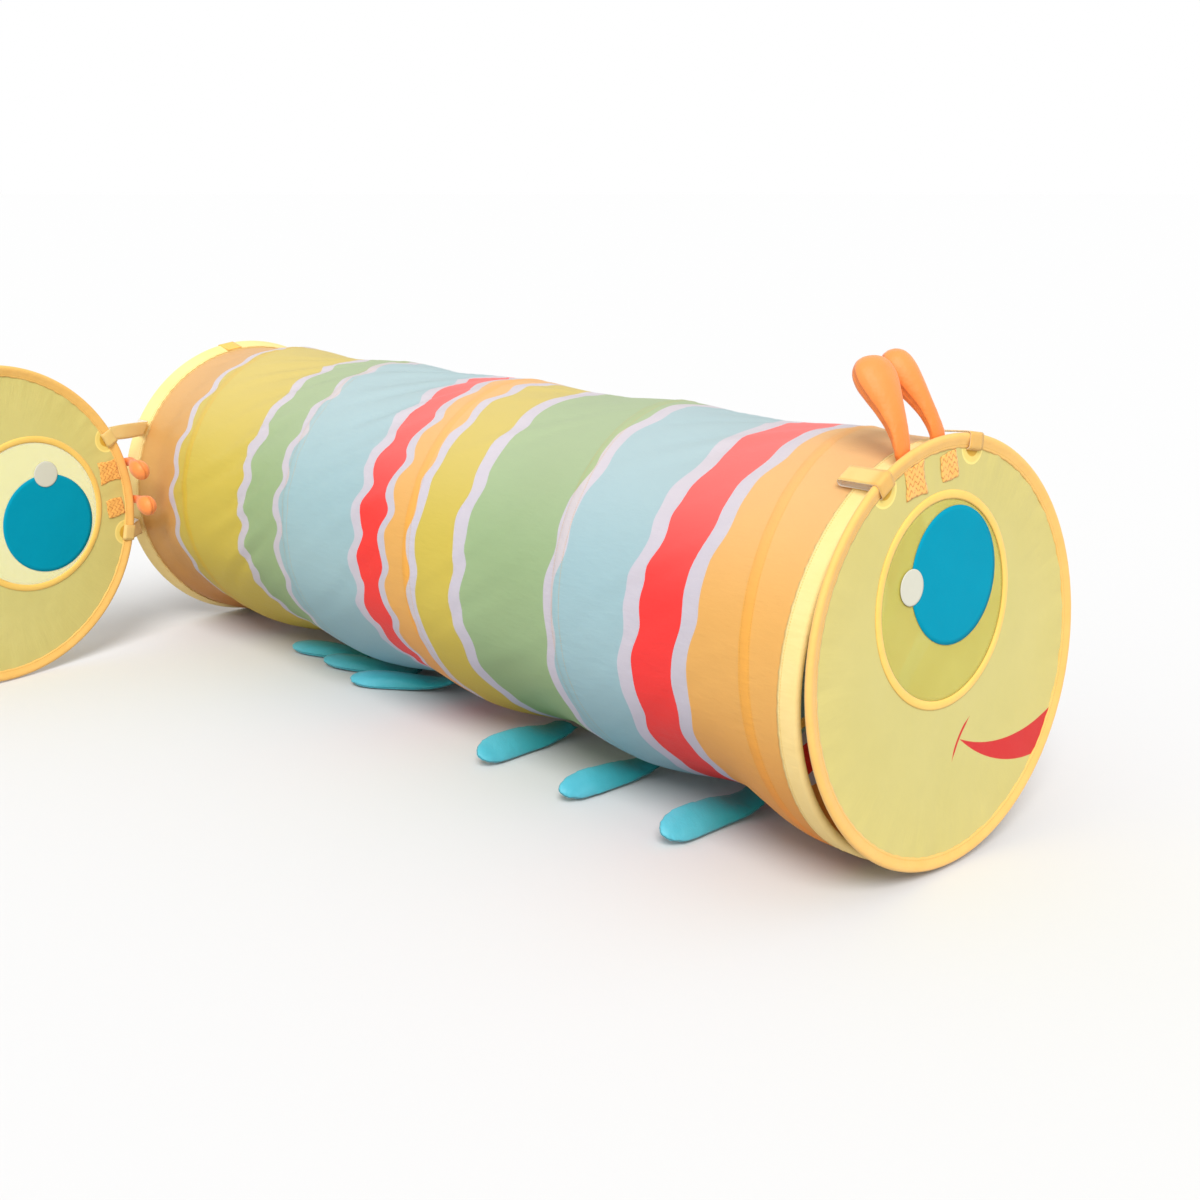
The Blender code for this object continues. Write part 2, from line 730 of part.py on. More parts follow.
def face_flap(end_name, facing, clock, hinge_clock, sideways, opened):
    """Everything of one flap, in the pose in which it stands at rest."""
    closed = flap_frame(facing, clock, sideways)
    place, direction = hinge_at(facing, hinge_clock)
    frame = swung(opened, place, direction) @ closed
    is_open = opened > QUARTER_TURN
    centre_radius = FLAP_RADIUS - CLOTH - CAVITY_RADIUS
    ring = hoop(f"{end_name}_flap_hoop", centre_radius, spring_steel(), flap_turn(frame))
    low = Matrix.Translation(in_flap(0, 0, -centre_radius * math.cos(STEP / 2)))
    sleeve_at = frame @ low @ Matrix.Rotation(QUARTER_TURN, 4, "X")
    pieces = [ring, ferrule(f"{end_name}_flap_hoop_ferrule", sleeve_at)]
    pieces.append(flap_panel(f"{end_name}_flap_panel", frame))
    pieces.append(flap_binding(f"{end_name}_flap_binding", frame))
    pieces += window_pieces(end_name, frame)
    for side, sign in (("left", -1), ("right", 1)):
        angle = sign * ANTENNA_ANGLE
        sideways = ANTENNA_SIDEWAYS[side]
        pieces.append(antenna(f"{end_name}_antenna_{side}", angle, frame, sideways, is_open))
        pieces.append(antenna_anchor(f"{end_name}_antenna_anchor_{side}", angle, frame))
    pieces += straps(end_name, facing, clock, frame, not is_open)
    return pieces, place


def skin_height(y):
    """Height of the skin's flat sides over the floor, at a distance from the middle line."""
    corners = [at_ring(math.pi + (k + 0.5) * STEP, RING_RADIUS, 0) for k in range(SIDES // 4)]
    for low, high in zip(corners, corners[1:]):
        if high.y > y:
            return low.z + (high.z - low.z) * max(0, y - low.y) / (high.y - low.y)
    return corners[-1].z


def leg(name, root_x, side, lean):
    """One stuffed leg, sewn flat under the skin, that lies out on the floor and rolls over."""
    out = Vector((-math.sin(lean), side * math.cos(lean), 0))
    flat_across = Vector((out.y, -out.x, 0))
    stations = []
    for along_share, width_share, thickness_share, roll_share in LEG_PROFILE_SHARES:
        half_width = LEG_HALF_WIDTH * width_share
        half_thickness = LEG_HALF_THICKNESS * thickness_share
        roll = Matrix.Rotation(side * LEG_ROLL * math.cos(lean) * roll_share, 3, out)
        across = roll @ flat_across
        through = roll @ Vector((0, 0, 1))
        corners = rounded_section(half_width, half_thickness, across, through)
        height = FLOOR_GAP - min(corner.z for corner in corners)
        if along_share == 0:
            room = [skin_height(LEG_ROOT_Y + side * corner.y) - corner.z for corner in corners]
            height = min(room) - CLEARANCE
        centre = Vector((root_x, side * LEG_ROOT_Y, height)) + out * LEG_LENGTH * along_share
        stations.append((centre, corners))
    return stuffed(name, stations, teal_cloth())


def legs():
    """Three pairs of legs under the front half and three under the rear half."""
    made = {}
    groups = (
        ("front", FRONT_LEG_X, FRONT_LEG_SPACING, FRONT_LEG_LEANS),
        ("rear", REAR_LEG_X, REAR_LEG_SPACING, REAR_LEG_LEANS),
    )
    for group, first_x, spacing, leans in groups:
        for number, lean in enumerate(leans, start=1):
            root_x = first_x - (number - 1) * spacing
            for side_name, side in (("left", -1), ("right", 1)):
                name = f"{group}_leg_{number}_{side_name}"
                made[name] = (leg(name, root_x, side, lean), root_x)
    return made


def carrier(name, place, pieces):
    """An empty on a joint's axis that carries the pieces that move together."""
    empty = bpy.data.objects.new(name, None)
    empty.location = place
    PARTS.objects.link(empty)
    bpy.context.view_layer.update()
    for piece in pieces:
        piece.parent = empty
        piece.matrix_parent_inverse = empty.matrix_world.inverted()


def build_tunnel():
    end_ring("front", 1)
    spiral_wire()
    spiral_casing()
    bays = {number: [skin_bay(number)] for number in range(1, BAY_COUNT + 1)}
    for piece, root_x in legs().values():
        bays[math.floor((HALF_LENGTH - root_x) / bay_length()) + 1].append(piece)
    for number, pieces in bays.items():
        middle = HALF_LENGTH - (number - 0.5) * bay_length()
        carrier(f"bay_{number}", (middle, 0, AXIS_HEIGHT), pieces)
    rear = end_ring("rear", -1) + [hem_tab()]
    rear_carried = (-HALF_LENGTH, 0, AXIS_HEIGHT)
    carrier("rear_end", rear_carried, rear)
    front_flap, front_hinge = face_flap(
        "front", 1, FRONT_FLAP_CLOCK, FRONT_FLAP_CLOCK, FRONT_FLAP_SIDEWAYS, FRONT_FLAP_OPEN
    )
    carrier("front_flap", front_hinge, front_flap)
    rear_flap, rear_hinge = face_flap(
        "rear", -1, REAR_FLAP_CLOCK, REAR_HINGE_CLOCK, 0, REAR_FLAP_OPEN
    )
    carrier("rear_flap", rear_hinge, rear_flap)


build_tunnel()
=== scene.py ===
"""A pop-up cloth play tunnel with a face flap at each end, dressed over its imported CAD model.

The frame is metres, +Z up and +X along the tunnel to its front end. Angles round the tunnel
run from its top towards its -Y side, which is the side that the camera sees.
"""

import math

import bmesh
import bpy
import numpy as np
from mathutils import Matrix, Vector


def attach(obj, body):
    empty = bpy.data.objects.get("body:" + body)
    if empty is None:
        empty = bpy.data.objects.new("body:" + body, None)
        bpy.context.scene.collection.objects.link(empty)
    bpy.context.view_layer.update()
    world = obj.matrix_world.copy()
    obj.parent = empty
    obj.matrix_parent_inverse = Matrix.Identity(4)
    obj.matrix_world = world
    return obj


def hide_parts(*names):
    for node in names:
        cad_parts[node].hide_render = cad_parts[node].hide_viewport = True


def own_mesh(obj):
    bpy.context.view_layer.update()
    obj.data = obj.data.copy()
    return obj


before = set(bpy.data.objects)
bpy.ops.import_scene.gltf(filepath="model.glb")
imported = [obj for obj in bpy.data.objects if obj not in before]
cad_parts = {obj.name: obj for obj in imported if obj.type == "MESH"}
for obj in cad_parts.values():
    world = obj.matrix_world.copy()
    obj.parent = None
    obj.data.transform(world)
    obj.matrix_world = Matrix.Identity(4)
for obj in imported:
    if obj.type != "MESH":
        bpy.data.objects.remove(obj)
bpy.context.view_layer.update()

MM = 0.001

# The printed skin. One tube of thin woven nylon, printed with wavy stripes, stretched from hem
# to hem over the turns of the spiral wire. It is drawn in a little between turns, and the pull
# of the wire raises long slanting folds there.
HALF_LENGTH = 751 * MM
RING_RADIUS = 247.5 * MM
RING_SIDES = 32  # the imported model's rings stand on one of their flat sides
AXIS_HEIGHT = RING_RADIUS * math.cos(math.pi / RING_SIDES)
HEM_WIDTHS = {"front": 23 * MM, "rear": 28 * MM}
SKIN_TUCK = 8 * MM
SKIN_INSET = 0.9 * MM
UNDER_HEM = 1.4 * MM
HEM_STEP = 4 * MM
HEM_EASE = 60 * MM
REAR_FLARE = 8 * MM
FLARE_FADE = 150 * MM
WIRE_PITCH = 306 * MM
WIRE_LEAN = 22 * MM
FIRST_TURN_X = 681 * MM
SKIN_SAG = 6.5 * MM
SKIN_RIDGE = 1.4 * MM
RIDGE_HALF_WIDTH = 3.5 * MM
CLOTH = 0.6 * MM
FOLD_HEIGHT_FRONT = 1.4 * MM
FOLD_HEIGHT_REAR = 3.2 * MM
FOLD_HEIGHT_CHANGE = (50 * MM, 300 * MM)
BELLY_LIFT = 15 * MM
BELLY_SAG = 14 * MM
BELLY_FADE = (45 * MM, 150 * MM)
FOLDS_ROUND = 25
FOLD_CLIMB = 2.9
SKIN_ROWS = 250
SKIN_COLUMNS = 190


def turn_x(angle):
    """Place of the spiral wire: an even climb with the angle, leaning by a cosine of it."""
    climbed = WIRE_PITCH * (angle - np.pi / 2) / (2 * np.pi)
    return FIRST_TURN_X + climbed + WIRE_LEAN * np.cos(angle)


def from_turn(x, angle):
    """Distance along X from the nearest turn of the wire, positive towards the front."""
    turns = (x - turn_x(angle)) / WIRE_PITCH
    return (turns - np.round(turns)) * WIRE_PITCH


def circle(count):
    """Angles at even steps round a circle, as one row."""
    return np.linspace(0, 2 * np.pi, count, endpoint=False)[None, :]


def around(x, angle, radius):
    """Points at an angle and radius round the tunnel's axis, as an array of (x, y, z)."""
    x, angle, radius = np.broadcast_arrays(x, angle, radius)
    height = AXIS_HEIGHT + radius * np.cos(angle)
    return np.stack((x, -radius * np.sin(angle), height), axis=-1)


def floor_limit(angle):
    """Greatest radius at which a point at this angle stays above the floor."""
    down = np.maximum(-np.cos(angle), 1e-3)
    return np.where(np.cos(angle) < 0, AXIS_HEIGHT / down, 10.0)


def smooth_share(value, start, end):
    """A share that climbs from 0 to 1 between two values, with level ends."""
    share = np.clip((value - start) / (end - start), 0, 1)
    return share * share * (3 - 2 * share)


def belly_share(x, angle):
    """How much the tunnel is raised here: smooth shares of the underside and of the middle."""
    underside = smooth_share(-np.cos(angle), 0.15, 0.95)
    return underside * smooth_share(HALF_LENGTH - np.abs(x), *BELLY_FADE)


def drawn_in(x):
    """How far the cloth at the rear end is drawn in: it flares out from the neck to the hoop.

    Nothing at the hoop, all of it at the hem's edge, and a smooth fade from there up the tube.
    """
    from_hoop = np.clip((x + HALF_LENGTH) / HEM_WIDTHS["rear"], 0, 1)
    fade = smooth_share(-x, HALF_LENGTH - FLARE_FADE, HALF_LENGTH - HEM_WIDTHS["rear"])
    return REAR_FLARE * from_hoop * fade


def turn_radius(x, angle):
    """Radius of the wire's turns: less at the belly, which the hoops hold up, and at the neck."""
    return RING_RADIUS - BELLY_LIFT * belly_share(x, angle) - drawn_in(x)


def skin_radius(x, angle):
    """Full over each turn and drawn in between turns by a power of a sine, with slanting folds.

    The folds are sines of an angle that slants along X, with a wandering phase. They are
    strongest midway between turns and towards the rear, and weakest at the belly.
    """
    gap = from_turn(x, angle) / WIRE_PITCH
    between = np.sin(np.pi * gap) ** 2
    off_floor = np.clip((np.cos(angle) + 1.1) / 1.2, 0, 1)
    from_hem = HALF_LENGTH - np.where(x < 0, HEM_WIDTHS["rear"], HEM_WIDTHS["front"]) - np.abs(x)
    near_end = np.clip(from_hem / HEM_EASE, 0, 1)
    sag = SKIN_SAG * between ** 0.8 * off_floor * near_end
    sag += BELLY_SAG * between ** 0.8 * belly_share(x, angle)
    along = angle + FOLD_CLIMB * x
    wander = 0.9 * np.sin(3 * along + 7 * x) + 0.6 * np.sin(5 * angle - 11 * x)
    swell = 0.55 + 0.45 * np.sin(4 * along + 5.3 * x + 1.1) * np.cos(3 * along - 2)
    folds = np.sin(FOLDS_ROUND * along + wander)
    folds += 0.45 * np.sin(41 * along + 1.7 * wander + 2) + 0.3 * np.sin(13 * along - wander)
    frontness = smooth_share(x, *FOLD_HEIGHT_CHANGE)
    height = FOLD_HEIGHT_REAR + (FOLD_HEIGHT_FRONT - FOLD_HEIGHT_REAR) * frontness
    lift = height * folds * (0.25 + 0.75 * between) * swell * off_floor * near_end
    ridge = SKIN_RIDGE * np.exp(-(from_turn(x, angle) / RIDGE_HALF_WIDTH) ** 2)
    under_hem = np.clip(-from_hem / HEM_STEP, 0, 1) * UNDER_HEM
    radius = turn_radius(x, angle) - SKIN_INSET - sag + lift - np.abs(lift).max() * 0.3 * between
    radius += ridge * off_floor - under_hem
    return np.minimum(radius, floor_limit(angle) - 0.1 * MM)


def write_uv(mesh, values):
    """Give each corner of a face its vertex's pair of values as its UV."""
    layer = mesh.uv_layers.get("UVMap") or mesh.uv_layers.new(name="UVMap")
    corners = np.empty(len(mesh.loops), dtype=np.int32)
    mesh.loops.foreach_get("vertex_index", corners)
    layer.data.foreach_set("uv", values[corners].ravel())


def grid_mesh(points, wrap_columns=True, wrap_rows=False, uv=None):
    """A mesh of quads over an array of (rows, columns, 3) points, with an optional UV array."""
    rows, columns = points.shape[:2]
    row = np.arange(rows if wrap_rows else rows - 1)
    column = np.arange(columns if wrap_columns else columns - 1)
    row, column = np.meshgrid(row, column, indexing="ij")
    below, right = (row + 1) % rows, (column + 1) % columns
    corners = [(row, column), (row, right), (below, right), (below, column)]
    quads = np.stack([(r * columns + c).ravel() for r, c in corners], axis=-1)
    mesh = bpy.data.meshes.new("grid")
    mesh.from_pydata(points.reshape(-1, 3), [], quads.tolist())
    mesh.update()
    if uv is not None:
        write_uv(mesh, uv.reshape(-1, 2))
    mesh.shade_smooth()
    return mesh


def add_object(name, data):
    """Put an object with this data into the scene."""
    made = bpy.data.objects.new(name, data)
    bpy.context.scene.collection.objects.link(made)
    return made


def add_piece(name, mesh, finish, body, slot, *replaced):
    """Put a finished mesh into the scene as a piece that rides on a body."""
    mesh.name = name
    mesh.materials.append(finish)
    piece = add_object(name, mesh)
    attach(piece, body)
    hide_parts(*replaced)
    return piece


def give_thickness(piece, thickness, offset=-1.0):
    """Turn a sheet into a closed wall of this thickness."""
    wall = piece.modifiers.new("Wall", "SOLIDIFY")
    wall.thickness = thickness
    wall.offset = offset


def math_node(operation):
    """A method that works out two numbers with a Math node."""
    return lambda first, second: first.math(operation, second)


class Value:
    """One number inside a material: arithmetic on it adds the Math nodes that work it out."""

    __add__ = math_node("ADD")
    __sub__ = math_node("SUBTRACT")
    __mul__ = math_node("MULTIPLY")
    __truediv__ = math_node("DIVIDE")
    __gt__ = math_node("GREATER_THAN")
    __lt__ = math_node("LESS_THAN")

    def __init__(self, finish, socket):
        self.finish, self.socket = finish, socket

    def math(self, operation, *others):
        links = {0: self}
        links.update({place + 1: other for place, other in enumerate(others)})
        made = self.finish.node("ShaderNodeMath", {"operation": operation}, links)
        return Value(self.finish, made.outputs[0])

    def __neg__(self):
        return self * -1.0

    def __rsub__(self, other):
        return (-self) + other

    def __abs__(self):
        return self.math("ABSOLUTE")

    def clamped(self):
        return self.math("MAXIMUM", 0.0).math("MINIMUM", 1.0)

    def wave(self, pitch):
        """A sine that repeats every pitch."""
        return (self * (2 * math.pi / pitch)).math("SINE")


class Finish:
    """A material being mixed."""

    def __init__(self, name, **constants):
        self.material = bpy.data.materials.new(name)
        self.material.use_nodes = True
        self.tree = self.material.node_tree
        self.shader = self.tree.nodes["Principled BSDF"]
        for label, value in constants.items():
            self.shader.inputs[label.replace("_", " ")].default_value = value

    def set_socket(self, socket, value):
        """Link a value or an output to a socket, or set a plain number or colour on it."""
        if isinstance(value, Value):
            value = value.socket
        if isinstance(value, bpy.types.NodeSocket):
            self.tree.links.new(value, socket)
        elif isinstance(value, tuple) and len(value) == 3 and socket.type == "RGBA":
            socket.default_value = (*value, 1.0)
        else:
            socket.default_value = value

    def node(self, kind, settings=(), links=()):
        """Add a node: its settings first, then the values or links of its sockets."""
        made = self.tree.nodes.new(kind)
        for label, value in dict(settings).items():
            setattr(made, label, value)
        for label, value in dict(links).items():
            self.set_socket(made.inputs[label], value)
        return made

    def ramp(self, share, stops):
        """The colour of the last (position, colour) stop that the share has reached."""
        made = self.node("ShaderNodeValToRGB", links={"Fac": share})
        made.color_ramp.interpolation = "CONSTANT"
        while len(made.color_ramp.elements) < len(stops):
            made.color_ramp.elements.new(1.0)
        for element, (position, colour) in zip(made.color_ramp.elements, stops):
            element.position = position
            element.color = (*colour, 1.0)
        return made.outputs["Color"]

    def place(self, output="Object"):
        """The point on the piece: its own X, Y and Z, or its UV map."""
        return self.node("ShaderNodeTexCoord").outputs[output]

    def split(self, vector):
        made = self.node("ShaderNodeSeparateXYZ", links={0: vector})
        return [Value(self, output) for output in made.outputs]

    def join(self, x, y, z):
        return self.node("ShaderNodeCombineXYZ", links={0: x, 1: y, 2: z}).outputs[0]

    def noise(self, vector, scale, detail=3.0, roughness=0.55):
        links = {"Vector": vector, "Scale": scale, "Detail": detail, "Roughness": roughness}
        return Value(self, self.node("ShaderNodeTexNoise", links=links).outputs["Fac"])

    def mix(self, share, first, second, blend="MIX"):
        """A colour between two, or one over the other by a blend mode."""
        settings = {"data_type": "RGBA", "blend_type": blend}
        links = {"Factor": share, 6: first, 7: second}
        return self.node("ShaderNodeMix", settings, links).outputs[2]

    def rising(self, value, start, end):
        """A share that climbs smoothly from 0 to 1 between two values."""
        settings = {"interpolation_type": "SMOOTHSTEP"}
        links = {"Value": value, "From Min": start, "From Max": end}
        return Value(self, self.node("ShaderNodeMapRange", settings, links).outputs[0])

    def falling(self, value, start, end):
        """A share that drops smoothly from 1 to 0 between two values."""
        return 1 - self.rising(value, start, end)

    def weave(self, across, along, pitch):
        """The threads of a plain weave: the product of two sines, between -1 and 1."""
        return across.wave(pitch) * along.wave(pitch)

    def stitches(self, off_seam, arc, half_width=0.35 * MM, pitch=3.4 * MM, gap=-0.3):
        """A row of stitches: a narrow band along a seam, cut where a sine of the arc is low."""
        return self.falling(abs(off_seam), half_width, 0.9 * MM) * (arc.wave(pitch) > gap)

    def bump(self, height, strength):
        links = {"Height": height, "Distance": 1.0, "Strength": strength}
        made = self.node("ShaderNodeBump", links=links)
        self.set_socket(self.shader.inputs["Normal"], made.outputs[0])

    def paint(self, colour):
        self.set_socket(self.shader.inputs["Base Color"], colour)

    def roughen(self, roughness):
        self.set_socket(self.shader.inputs["Roughness"], roughness)

    def let_light_through(self, share, colour):
        """Mix in a share of light that crosses the cloth, of one constant colour."""
        through = self.node("ShaderNodeBsdfTranslucent", links={"Color": colour}).outputs[0]
        links = {0: share, 1: self.shader.outputs[0], 2: through}
        mixed = self.node("ShaderNodeMixShader", links=links)
        self.tree.links.new(mixed.outputs[0], self.tree.nodes["Material Output"].inputs[0])


def srgb(red, green, blue):
    """A colour given as a screen shows it, in the linear values that shaders use."""
    shares = [value / 255 for value in (red, green, blue)]
    return tuple(((s + 0.055) / 1.055) ** 2.4 if s > 0.04 else s / 12.92 for s in shares)


ORANGE_PRINT = srgb(238, 182, 102)
ORANGE_REAR_PRINT = srgb(218, 166, 92)
WHITE_PRINT = srgb(214, 211, 228)
RED_PRINT = srgb(236, 56, 54)
BLUE_PRINT = srgb(166, 202, 214)
GREEN_PRINT = srgb(162, 190, 144)
YELLOW_PRINT = srgb(214, 195, 88)
CASING_TINT = (1.12, 0.95, 0.45)
STRIPES = (
    (-0.751, -0.596, ORANGE_REAR_PRINT),
    (-0.576, -0.388, YELLOW_PRINT),
    (-0.366, -0.272, GREEN_PRINT),
    (-0.256, -0.077, BLUE_PRINT),
    (-0.056, -0.005, RED_PRINT),
    (0.016, 0.068, ORANGE_PRINT),
    (0.086, 0.157, YELLOW_PRINT),
    (0.178, 0.349, GREEN_PRINT),
    (0.366, 0.479, BLUE_PRINT),
    (0.501, 0.566, RED_PRINT),
    (0.588, 0.751, ORANGE_PRINT),
)
STRIPE_TILT_FRONT = -38 * MM
STRIPE_TILT_REAR = 44 * MM
WAVE_FRONT = 3.8 * MM
WAVE_REAR = 7.5 * MM
WAVES_ROUND_FRONT = 14
WAVES_ROUND_REAR = 20
# Places along X between which the tilt, the waves and the phase of the rear waves change.
STRIPE_TILT_CHANGE = (0.15, 0.58)
WAVE_CHANGE = (0.02, 0.12)
REAR_PHASE_CHANGE = (-0.06, 0.0)
CASING_HALF_WIDTH = 8 * MM
CASING_SEAM = 6.6 * MM


def stripe_stops():
    """Where each stripe starts and the white after it, as shares of the tunnel's length.

    The last stripe runs on to the end.
    """
    edges = []
    for start, end, colour in STRIPES:
        edges += [(start, colour), (end, WHITE_PRINT)]
    return [((at + HALF_LENGTH) / (2 * HALF_LENGTH), colour) for at, colour in edges[:-1]]


def skin_finish():
    """Woven nylon with printed stripes: a flat ramp along X, shifted by tilt and by waves.
    Painted shade darkens it low down, and a painted sheen pales its top.

    X comes from the UV map, so that the print stays on the cloth when the tunnel is collapsed.
    """
    finish = Finish("printed_nylon", Specular_IOR_Level=0.2)
    x, _, _ = finish.split(finish.place("UV"))
    _, y, z = finish.split(finish.place())
    place = finish.join(x, y, z)
    angle = (-y).math("ARCTAN2", z - AXIS_HEIGHT)
    arc = angle * RING_RADIUS
    tilt_share = finish.rising(x, *STRIPE_TILT_CHANGE)
    tilt = tilt_share * (STRIPE_TILT_FRONT - STRIPE_TILT_REAR) + STRIPE_TILT_REAR
    from_side = (abs(angle) - math.pi / 2) / math.pi
    front_turn = angle * WAVES_ROUND_FRONT + (x * 17.0 + 1.0)
    rear_phase = finish.rising(x, *REAR_PHASE_CHANGE) * math.pi + x * 9.0 + 2.4
    rear_turn = angle * WAVES_ROUND_REAR + rear_phase
    front_wave = front_turn.math("SINE") + (front_turn * 2 + 0.9).math("SINE") * 0.25
    rear_wave = rear_turn.math("SINE") + (rear_turn * 2 + 0.9).math("SINE") * 0.22
    frontness = finish.rising(x, *WAVE_CHANGE)
    wave = front_wave * frontness * WAVE_FRONT + rear_wave * (1 - frontness) * WAVE_REAR
    uneven = finish.noise(finish.join(x * 3.0, y, z), 9.0, 1.0) - 0.5
    shifted = x - tilt * from_side + wave + uneven * (9 * MM)
    print_colour = finish.ramp((shifted + HALF_LENGTH) / (2 * HALF_LENGTH), stripe_stops())

    climbed = (angle - math.pi / 2) * (WIRE_PITCH / (2 * math.pi))
    turn = angle.math("COSINE") * WIRE_LEAN + climbed + FIRST_TURN_X
    turns = (x - turn) / WIRE_PITCH
    distance = abs((turns - turns.math("ROUND")) * WIRE_PITCH)
    casing = finish.falling(distance, CASING_HALF_WIDTH - 0.4 * MM, CASING_HALF_WIDTH + 0.4 * MM)
    red, green, blue = finish.split(print_colour)
    warmth = ((red - blue) * 0.6 + 0.2).clamped()
    cased = finish.mix(casing * warmth, print_colour, CASING_TINT, "MULTIPLY")
    thread = finish.stitches(distance - CASING_SEAM, arc, 0.3 * MM, 3.2 * MM, -0.35)
    sewn = finish.mix(thread * 0.5, cased, srgb(222, 168, 84))
    patchy = finish.noise(place, 7.0, 4.0)
    shade = finish.mix(patchy * 0.16, sewn, srgb(205, 196, 176), "MULTIPLY")
    # Painted shade: towards the bottom of the tunnel the colour is multiplied by itself, deeper and
    # darker.
    low = finish.falling(z, 0.0, 0.26)
    shaded_below = finish.mix(low * 0.7, shade, shade, "MULTIPLY")
    # Painted sheen: towards the top the colour is paled to a warm white.
    pale = finish.rising(z, 0.30, 0.48) * 0.14
    finish.paint(finish.mix(pale, shaded_below, srgb(250, 236, 226)))

    threads = finish.weave(x, arc, 0.9 * MM)
    crumple = finish.noise(finish.join(x * 0.6, y * 1.4, z * 1.6), 42.0, 4.0, 0.6)
    puckers = finish.noise(finish.join(x * 0.25, y * 2.2, z * 2.2), 90.0, 2.0)
    near_seam = finish.falling(distance, 6 * MM, 30 * MM)
    height = crumple * (1.5 * MM) + threads * (0.03 * MM) + puckers * near_seam * (0.8 * MM)
    finish.bump(height - thread * (0.25 * MM), 0.75)
    finish.roughen(patchy * 0.15 + 0.4)
    # Less light passes through the cloth low down, which adds to the painted shade there.
    lit_share = (1 - low * 0.8) * 0.5
    finish.let_light_through(green * lit_share + 0.02, srgb(252, 240, 212))
    return finish.material


skin_end = HALF_LENGTH - SKIN_TUCK
skin_x = np.linspace(skin_end, -skin_end, SKIN_ROWS)[:, None]
skin_angle = -circle(SKIN_COLUMNS)
skin_points = around(skin_x, skin_angle, skin_radius(skin_x, skin_angle))
skin_uv = np.stack(np.broadcast_arrays(skin_x, skin_angle), axis=-1)
skin_mesh = grid_mesh(skin_points, uv=skin_uv)
skin_bays = [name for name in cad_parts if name.startswith("skin_bay_")]
skin = add_piece("skin", skin_mesh, skin_finish(), "front_end", "lemon_cloth", *skin_bays)
give_thickness(skin, CLOTH)

# The spring wire and its casing. Inside the skin, a folded tape of yellow cloth is sewn along
# the spiral with two rows of stitches, and the wire runs in it as one unbroken length.
WIRE_RADIUS = 1.5 * MM
WIRE_FIRST_ANGLE = math.radians(140.6)
WIRE_LAST_ANGLE = math.radians(-1535.6)
WIRE_POINTS = 700
WIRE_SIDES = 8
WIRE_DEPTH = 2.8 * MM
# Depths under the ring at the sewn edge, beside the wire and under it, and where each ply has
# them, as shares of the half width.
CASING_DEPTHS = (1.9 * MM, 2.5 * MM, 5.2 * MM)
CASING_OUTER_SHARES = (1, 0.55, 0.28)
CASING_INNER_SHARES = (1, 0.6, 0.32)


def steel_finish():
    """Drawn spring steel: fine scratches along the wire."""
    finish = Finish("spring_steel", Metallic=1.0)
    scratches = finish.noise(finish.place(), 900.0, 2.0)
    finish.paint(finish.mix(scratches, srgb(150, 152, 156), srgb(196, 197, 200)))
    finish.roughen(scratches * 0.25 + 0.22)
    return finish.material


def tape_finish(name="yellow_tape", dark=srgb(234, 186, 84), light=srgb(244, 204, 108)):
    """Folded cloth tape: close diagonal threads, uneven dye and small puckers."""
    finish = Finish(name, Sheen_Weight=0.2, Specular_IOR_Level=0.25)
    place = finish.place()
    x, y, z = finish.split(place)
    dye = finish.noise(place, 24.0, 4.0)
    fine = finish.noise(place, 260.0, 2.0)
    finish.paint(finish.mix((dye * 0.8 + fine * 0.3).clamped(), dark, light))
    threads = (x + y + z).wave(1.1 * MM) * (0.05 * MM)
    threads += (x - y + z * 0.7).wave(1.3 * MM) * (0.04 * MM)
    finish.bump(threads + finish.noise(place, 70.0, 3.0) * (0.9 * MM), 0.7)
    finish.roughen(dye * 0.2 + 0.55)
    return finish.material


STEEL = steel_finish()
YELLOW_TAPE = tape_finish()


def close_up(mesh, columns=0):
    """Cap the ends of a tube that was laid out in columns, and point a mesh's faces outwards."""
    shape = bmesh.new()
    shape.from_mesh(mesh)
    shape.verts.ensure_lookup_table()
    if columns:
        shape.faces.new(shape.verts[:columns])
        shape.faces.new(shape.verts[-columns:])
    bmesh.ops.recalc_face_normals(shape, faces=shape.faces)
    shape.to_mesh(mesh)
    shape.free()


def ribbon_along_spiral(profile):
    """Carry a closed profile of (along X, radius) points along the spiral of the wire."""
    angle = np.linspace(WIRE_FIRST_ANGLE, WIRE_LAST_ANGLE, WIRE_POINTS)[:, None]
    along, radius = np.array(profile).T[:, None, :]
    radius = np.minimum(radius, floor_limit(angle) + radius - RING_RADIUS)
    radius = radius + turn_radius(turn_x(angle), angle) - RING_RADIUS
    mesh = grid_mesh(around(turn_x(angle) + along, angle, radius))
    close_up(mesh, len(profile))
    return mesh


def casing_ply(shares, thickness):
    """One side of the casing's section: from its sewn edge in to the fold over the wire."""
    return [
        (share * CASING_HALF_WIDTH, RING_RADIUS - depth - thickness)
        for share, depth in zip(shares, CASING_DEPTHS)
    ]


def mirrored(section):
    """The other side of a section: its points in the opposite order, the first number negated."""
    return [(-at, height) for at, height in reversed(section)]


round_wire = [
    (WIRE_RADIUS * math.cos(turn), RING_RADIUS - WIRE_DEPTH + WIRE_RADIUS * math.sin(turn))
    for turn in circle(WIRE_SIDES)[0]
]
wire_mesh = ribbon_along_spiral(round_wire)
wire = add_piece("spring_wire", wire_mesh, STEEL, "front_end", "spring_steel", "spiral_wire")
outer_ply = casing_ply(CASING_OUTER_SHARES, 0)
inner_ply = casing_ply(CASING_INNER_SHARES, CLOTH)
casing_section = outer_ply + mirrored(outer_ply) + mirrored(inner_ply[::-1]) + inner_ply[::-1]
casing_mesh = ribbon_along_spiral(casing_section)
casing = add_piece(
    "wire_casing", casing_mesh, YELLOW_TAPE, "front_end", "yellow_cloth", "spiral_casing"
)

# The hems. At each end a yellow tape is folded round a steel hoop and sewn down over the edge
# of the skin with one row of stitches, so its inner edge puckers.
HEM_COLUMNS = 288
HEM_ROLL = 5.5 * MM
HEM_ROLL_POINTS = 11
HEM_REACH = 4 * MM
